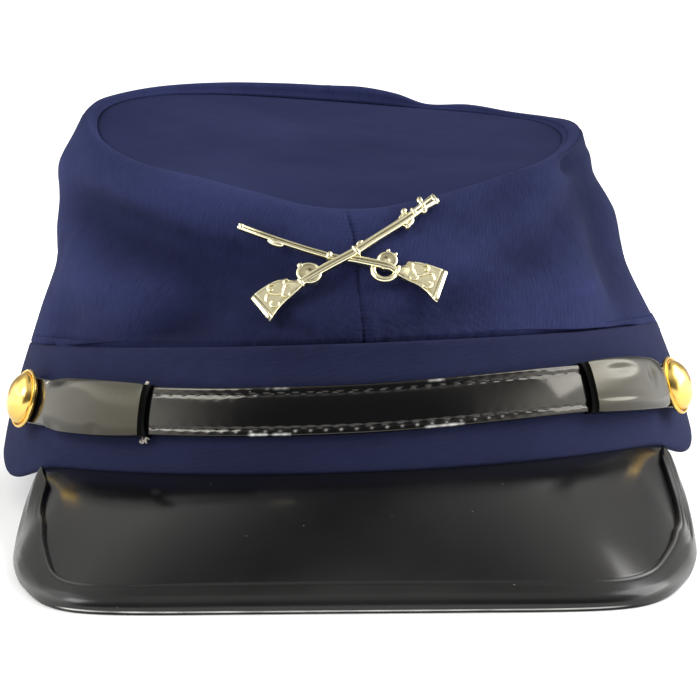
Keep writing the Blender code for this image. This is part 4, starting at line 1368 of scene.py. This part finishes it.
def makeButton(name, node, side):
    azimuth = np.array(side * button["at"])
    stand = strapStand(azimuth) + strap["wall"] + gap
    seat = bandPoint(azimuth, strapMiddle(azimuth), stand)
    place = frameAt(seat, bandOutward(azimuth))
    r, rim, dome = button["radius"], button["rim"], button["dome"]
    outline = [(0.02 * mm, rim + dome)]
    for step in range(1, 19):
        angle = math.pi / 2 * step / 18
        outline.append((0.86 * r * math.sin(angle), rim + dome * math.cos(angle)))
    outline += [(share * r, up * rim) for share, up in button["rimForm"]]
    outline += [(button["shank"], down) for down in (0.0, -2.0 * mm, -button["shankLength"])]
    outline.append((0.02 * mm, -button["shankLength"]))
    mesh = turned(name, outline[::-1], place, button["sides"])
    return addPiece(name, mesh, brass, [node], sharp=50)


makeButton("buttonRight", "button_right", -1)
makeButton("buttonLeft", "button_left", 1)

badge = {
    "depth": 2.2 * mm,
    "over": 0.5 * mm,  # how much higher the upper rifle lies
    "up": 0.57,  # share of the crown's height
    "at": math.radians(0.1),
    "wire": 0.30,  # radius of the curls on the butts, in mm
}


def badgeSeat(across, up):
    # the crown's face under a spot of the flat badge, and the way out of it
    at = badge["at"]
    low, high = crownSmooth(np.array(at), np.array(0.2)), crownSmooth(np.array(at), np.array(0.8))
    face = np.linalg.norm(high - low) / 0.6
    share = badge["up"] + up / face
    halfWidth = crownSmooth(0 * share + math.pi / 2, share)[..., 0]
    azimuth = at + np.arcsin(across / halfWidth)
    lift = roundTable("rimLift", azimuth)
    share = share * (1 - lift / (seamHeight(azimuth) - band["height"]))
    along = crownSmooth(azimuth + 0.01, share) - crownSmooth(azimuth - 0.01, share)
    rise = crownSmooth(azimuth, share + 0.02) - crownSmooth(azimuth, share - 0.02)
    return crownSmooth(azimuth, share), unit(np.cross(along, rise))


def onCrown(points):
    # wraps flat badge points, with z as the height over the cloth, onto the crown
    seat, outward = badgeSeat(points[..., 0], points[..., 1])
    return seat + outward * points[..., 2:]


rifles = (
    {
        # flat places in mm on the badge: the middle of the butt's end and the muzzle
        "butt": (20.94, -9.21),
        "muzzle": (-24.43, 8.80),
        "lift": 0.0,
        # share of the length, upper and lower edge in mm, half thickness as a share of the depth
        "outline": (
            (0.000, 4.30, -4.32, 0.38),
            (0.015, 4.45, -4.15, 0.50),
            (0.060, 4.70, -2.60, 0.46),
            (0.110, 4.85, -1.35, 0.46),
            (0.165, 4.65, -0.80, 0.46),
            (0.200, 3.50, -0.35, 0.44),
            (0.228, 2.10, 0.05, 0.42),
            (0.270, 2.70, 0.65, 0.48),
            (0.383, 2.45, 0.35, 0.48),
            (0.450, 1.90, 0.05, 0.46),
            (0.510, 1.15, -0.70, 0.44),
            (0.600, 0.90, -0.80, 0.42),
            (0.820, 0.85, -0.78, 0.40),
            (1.000, 0.95, -0.90, 0.40),
        ),
        # along and up in mm, half length, half height, height over the depth
        "beads": (
            (48.2, 0.0, 0.7, 1.05, 0.1),
            (39.8, -0.9, 2.0, 0.95, 0.0),
            (27.2, 0.1, 0.8, 1.25, 0.35),
            (11.1, 1.05, 0.6, 1.75, 0.35),
            (12.9, 5.2, 0.5, 0.6, 0.0),
            (14.85, 5.6, 0.55, 0.6, 0.0),
        ),
        "discs": ((14.3, 3.0, 2.5),),
        "rings": ((14.0, 0.6, 2.7, 0.80, 175, 365),),
    },
    {
        "butt": (-20.26, -14.09),
        "muzzle": (21.60, 13.70),
        "lift": 0.7,
        "outline": (
            (0.000, 3.64, -3.64, 0.38),
            (0.015, 3.95, -3.40, 0.50),
            (0.060, 4.35, -2.35, 0.46),
            (0.110, 4.45, -1.50, 0.46),
            (0.155, 4.20, -1.00, 0.46),
            (0.190, 3.10, -0.65, 0.44),
            (0.224, 1.85, -0.30, 0.42),
            (0.270, 2.00, 0.00, 0.46),
            (0.395, 2.20, 0.10, 0.48),
            (0.536, 2.00, -0.15, 0.46),
            (0.620, 2.10, 0.05, 0.46),
            (0.700, 2.20, 0.10, 0.44),
            (0.860, 2.05, 0.05, 0.42),
            (0.930, 1.95, 0.05, 0.40),
            (1.000, 1.75, -0.55, 0.40),
        ),
        "beads": (
            (49.7, 0.6, 0.6, 1.25, 0.1),
            (47.1, 2.5, 0.8, 0.75, 0.0),
            (46.2, 0.1, 0.8, 0.75, 0.0),
            (46.6, 1.3, 0.6, 1.25, 0.35),
            (42.4, 2.8, 0.9, 0.7, 0.1),
            (40.6, -0.9, 0.8, 0.6, 0.1),
            (44.0, 1.2, 0.6, 1.3, 0.3),
            (27.0, 0.9, 0.7, 1.75, 0.35),
            (29.0, 2.1, 1.1, 0.55, 0.1),
            (14.3, 4.7, 0.85, 0.85, 0.0),
            (11.6, 0.8, 0.6, 1.35, 0.3),
        ),
        "discs": ((14.7, 1.9, 2.95),),
        "rings": ((41.6, 0.9, 1.35, 0.6, 0, 400),),
    },
)


def rifleFlat(rifle, along, up, height):
    # a spot along and above the line from the butt to the muzzle, in metres
    start, end = np.array(rifle["butt"]), np.array(rifle["muzzle"])
    ahead = (end - start) / np.linalg.norm(end - start)
    aside = np.array((-ahead[1], ahead[0])) * math.copysign(1, ahead[0])
    x = start[0] + along * ahead[0] + up * aside[0]
    y = start[1] + along * ahead[1] + up * aside[1]
    return onCrown(pointsOf(x * mm, y * mm, height * mm))


def rifleBody(rifle):
    # a loft with two ridges along the barrel and a flat, bevelled butt
    length = math.dist(rifle["butt"], rifle["muzzle"])
    share = np.linspace(0, 1, 240)[None]
    top, bottom, deep = readTable(rifle["outline"], share[0])[:, None]
    angle = 2 * np.pi * (np.arange(40) + 0.5)[:, None] / 40
    middle, half = (top + bottom) / 2, (top - bottom) / 2
    up = middle + half * np.sign(np.cos(angle)) * np.abs(np.cos(angle)) ** 0.8
    depth = badge["depth"] / mm
    thick = deep * depth * np.sign(np.sin(angle)) * np.abs(np.sin(angle)) ** 0.6
    barrel = np.clip((share - 0.24) / 0.05, 0, 1) * (np.sin(angle) > 0)
    thick = thick - 0.24 * barrel * bell(np.cos(angle), 0.18)
    butt = np.clip((0.20 - share) / 0.03, 0, 1) * (np.sin(angle) > 0)
    plate = bell(share * length - 1.2, 0.22)
    inside = 1 - np.clip((np.abs(np.cos(angle)) - 0.80) / 0.1, 0, 1)
    inside = inside * np.clip((share * length - 0.9) / 0.5, 0, 1)
    thick = thick - butt * (0.12 * plate + 0.26 * inside)
    points = rifleFlat(rifle, share * length + 0 * angle, up, thick + riflesMiddle(rifle))
    return closedSides(gridMesh("rifle", points, wrapV=True), points.shape)


def riflesMiddle(rifle):
    return gap / mm + badge["depth"] / mm / 2 + (rifle["lift"] - 0.35) * badge["over"] / mm * 2


def bead(rifle, along, up, halfLength, halfHeight, raised):
    # a flattened ball, for collars, lugs and sights
    turn = 2 * np.pi * np.arange(16)[None] / 16
    rise = np.pi * np.arange(1, 10)[:, None] / 10 - np.pi / 2
    thick = badge["depth"] / mm * 0.42 + raised
    points = rifleFlat(
        rifle,
        along + halfLength * np.cos(turn) * np.cos(rise) ** 0.6,
        up + halfHeight * np.sin(turn) * np.cos(rise) ** 0.6,
        riflesMiddle(rifle) + thick * np.sin(rise) + 0 * turn,
    )
    mesh = gridMesh("bead", points, wrapU=True)
    closeEnds(mesh, 16)
    return mesh


def lockDisc(rifle, along, up, radius):
    # a round plate with a raised rim and a boss
    turn = 2 * np.pi * np.arange(28)[None] / 28
    middle, deep = riflesMiddle(rifle), badge["depth"] / mm * 0.42
    form = (
        (0.05, 0.92), (0.18, 0.88), (0.28, 0.76), (0.62, 0.72), (0.74, 0.74), (0.82, 0.88),
        (0.90, 0.92), (0.97, 0.75), (1.00, 0.45), (0.98, -0.8), (0.05, -0.9),
    )
    reach = np.array(form)[:, :1] * radius
    height = middle + np.array(form)[:, 1:] * deep + 0 * turn
    points = rifleFlat(rifle, along + reach * np.cos(turn), up + reach * np.sin(turn), height)
    mesh = gridMesh("disc", points, wrapU=True)
    closeEnds(mesh, 28)
    return mesh


def wire(rifle, along, up, radius, height=0.0):
    # a round bar through flat places, on the face of the badge
    path = rifleFlat(rifle, along, up, riflesMiddle(rifle) + height + 0 * along)
    return tubeAlong("wire", path, radius * mm, 10)


def scrolls(rifle):
    # leaves and curls in relief on the butt
    face = badge["depth"] / mm * 0.40
    step = np.linspace(0, 1, 40)
    stem = 10.3 - 8.2 * step
    top, bottom, deep = readTable(rifle["outline"], stem / 49)
    middle, half = (top + bottom) / 2, (top - bottom) / 2
    meshes = [wire(rifle, stem, middle + 0.30 * half * np.sin(9.5 * step), badge["wire"], face)]
    for at, side in ((0.18, 1), (0.42, -1), (0.62, 1), (0.85, -1)):
        here = int(at * 39)
        turn = np.linspace(0.3, 4.9, 14)
        curl = 0.34 * half[here] * (1.15 - turn / 7)
        along = 10.3 - 8.2 * at + curl * np.cos(turn)
        up = middle[here] + side * (0.50 * half[here] + curl * np.sin(turn))
        meshes.append(wire(rifle, along, up, badge["wire"], face * 0.9))
    return meshes


def makeBadge():
    meshes = []
    for rifle in rifles:
        meshes.append(rifleBody(rifle))
        meshes += [bead(rifle, *row) for row in rifle["beads"]]
        meshes += [lockDisc(rifle, *row) for row in rifle["discs"]]
        for along, up, reach, radius, start, end in rifle["rings"]:
            turn = np.radians(np.linspace(start, end, 30))
            meshes.append(wire(rifle, along + reach * np.cos(turn), up + reach * np.sin(turn), radius))
        meshes += scrolls(rifle)
    return addPiece("riflesBadge", meshes, gilt, ["crossed_rifles_badge"], sharp=60)


makeBadge()

studio = {
    "window": 1.15,  # brightness of the white wall in view behind the cap
    "behind": 0.36,  # and of the room beside and above it
    "leftWall": 2.0,  # of the bright walls at both sides
    "rightWall": 2.25,
    "above": 0.80,  # of the ceiling
    "strip": 0.07,  # of the dark strip along the middle of the ceiling
    "front": 0.10,  # of the room on the camera's side
    "paper": (1.2, -2, 0.62),  # half its width, its near and its far edge, in metres
    "paperGlow": (0.15, 0.8),  # how much it glows under the cap and at its far end
    "lampTarget": (0, 0, 0.05),
    # place, size, power
    "lamps": {
        "left lamp": ((-1.05, 0.0, 0.85), 1.1, 5.5),
        "right lamp": ((1.05, 0.0, 0.85), 1.1, 22),
        "front lamp": ((-1.1, -0.7, 0.95), 0.6, 9),
    },
}


def makeFloor():
    # a sheet of white paper that glows a little towards its far end
    mesh = bpy.data.meshes.new("floor")
    reach, near, far = studio["paper"]
    corners = [(-reach, near, 0), (reach, near, 0), (reach, far, 0), (-reach, far, 0)]
    mesh.from_pydata(corners, [], [(0, 1, 2, 3)])
    floor = bpy.data.objects.new("floor", mesh)
    bpy.context.scene.collection.objects.link(floor)
    paper = Finish("white paper", (0.9, 0.9, 0.9), 0.85, Specular_IOR_Level=0.2)
    paper.emboss(paper.noise(paper.place(), 400.0, 3.0), 0.01 * mm)
    depth = paper.node("SeparateXYZ", {"Vector": paper.place()}).outputs["Y"]
    paper.shader.inputs["Emission Color"].default_value = (1.0, 1.0, 1.0, 1.0)
    glow = paper.ramp(depth, 0.0, 0.35, *studio["paperGlow"])
    paper.tree.links.new(glow, paper.shader.inputs["Emission Strength"])
    mesh.materials.append(paper.material)
    print("floor is laid")


def makeLamp(name, place, size, power):
    lamp = bpy.data.lights.new(name, "AREA")
    lamp.shape = "SQUARE"
    lamp.size, lamp.energy = size, power
    light = bpy.data.objects.new(name, lamp)
    bpy.context.scene.collection.objects.link(light)
    light.location = place
    ahead = Vector(studio["lampTarget"]) - Vector(place)
    light.rotation_euler = ahead.to_track_quat("-Z", "Y").to_euler()
    print(name, "is hung")


view = {
    "distance": 500.5 * mm,
    "height": 114.0 * mm,
    "yaw": math.radians(1.57),
    "down": math.radians(9.09),
    "lens": 94.64,
}


def makeCamera():
    low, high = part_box("band")
    centre = ((low.x + high.x) / 2, (low.y + high.y) / 2)
    lens = bpy.data.cameras.new("camera")
    lens.lens, lens.sensor_width = view["lens"], 36
    lens.clip_start = 0.02
    camera = bpy.data.objects.new("camera", lens)
    bpy.context.scene.collection.objects.link(camera)
    yaw, down = view["yaw"], view["down"]
    camera.location = (
        centre[0] - view["distance"] * math.sin(yaw),
        centre[1] - view["distance"] * math.cos(yaw),
        view["height"],
    )
    ahead = Vector((math.sin(yaw) * math.cos(down), math.cos(yaw) * math.cos(down), -math.sin(down)))
    camera.rotation_euler = ahead.to_track_quat("-Z", "Y").to_euler()
    bpy.context.scene.camera = camera
    print("camera stands", round((camera.location - Vector((*centre, 0.0))).length / mm), "mm away")


def makeWorld():
    # a bright wall behind and at the sides, a dim ceiling and a dim room in front
    world = bpy.data.worlds.new("studio walls")
    world.use_nodes = True
    tree = world.node_tree
    sky = tree.nodes["Background"]

    def maths(operation, *values):
        return mathsIn(tree, operation, *values)

    def smooth(value, low, high, start, end):
        made = tree.nodes.new("ShaderNodeMapRange")
        made.interpolation_type = "SMOOTHSTEP"
        tree.links.new(value, made.inputs["Value"])
        for key, number in (("From Min", low), ("From Max", high), ("To Min", start), ("To Max", end)):
            made.inputs[key].default_value = number
        return made.outputs["Result"]

    split = tree.nodes.new("ShaderNodeSeparateXYZ")
    tree.links.new(tree.nodes.new("ShaderNodeTexCoord").outputs["Generated"], split.inputs[0])
    x, y, z = split.outputs
    wide = maths("ABSOLUTE", x)
    strip = maths("MULTIPLY", smooth(wide, 0.03, 0.26, 1.0, 0.0), smooth(y, -0.15, 0.08, 0.0, 1.0))
    ceiling = maths("MULTIPLY_ADD", strip, studio["strip"] - studio["above"], studio["above"])
    high = smooth(z, 0.30, 0.85, 0.0, 1.0)
    low = smooth(z, 0.30, 0.85, studio["behind"], 0.0)
    room = maths("MULTIPLY_ADD", high, ceiling, low)
    window = smooth(y, 0.90, 0.95, 0.0, studio["window"])
    window = maths("MULTIPLY", window, smooth(z, 0.06, 0.16, 1.0, 0.0))
    right = smooth(x, 0.60, 0.90, 0.0, studio["rightWall"])
    left = smooth(x, -0.90, -0.60, studio["leftWall"], 0.0)
    sides = maths("MULTIPLY", maths("ADD", right, left), smooth(z, 0.26, 0.55, 1.0, 0.0))
    room = maths("ADD", room, maths("ADD", window, sides))
    ahead = smooth(y, -0.90, -0.50, studio["front"] / studio["behind"], 1.0)
    tree.links.new(maths("MULTIPLY", room, ahead), sky.inputs["Strength"])
    sky.inputs["Color"].default_value = (1.0, 0.99, 0.96, 1.0)
    bpy.context.scene.world = world
    print("room is lit")


makeFloor()
makeWorld()
for name, values in studio["lamps"].items():
    makeLamp(name, *values)
makeCamera()
bpy.context.scene.view_settings.view_transform = "Standard"
bpy.context.scene.view_settings.look = "None"
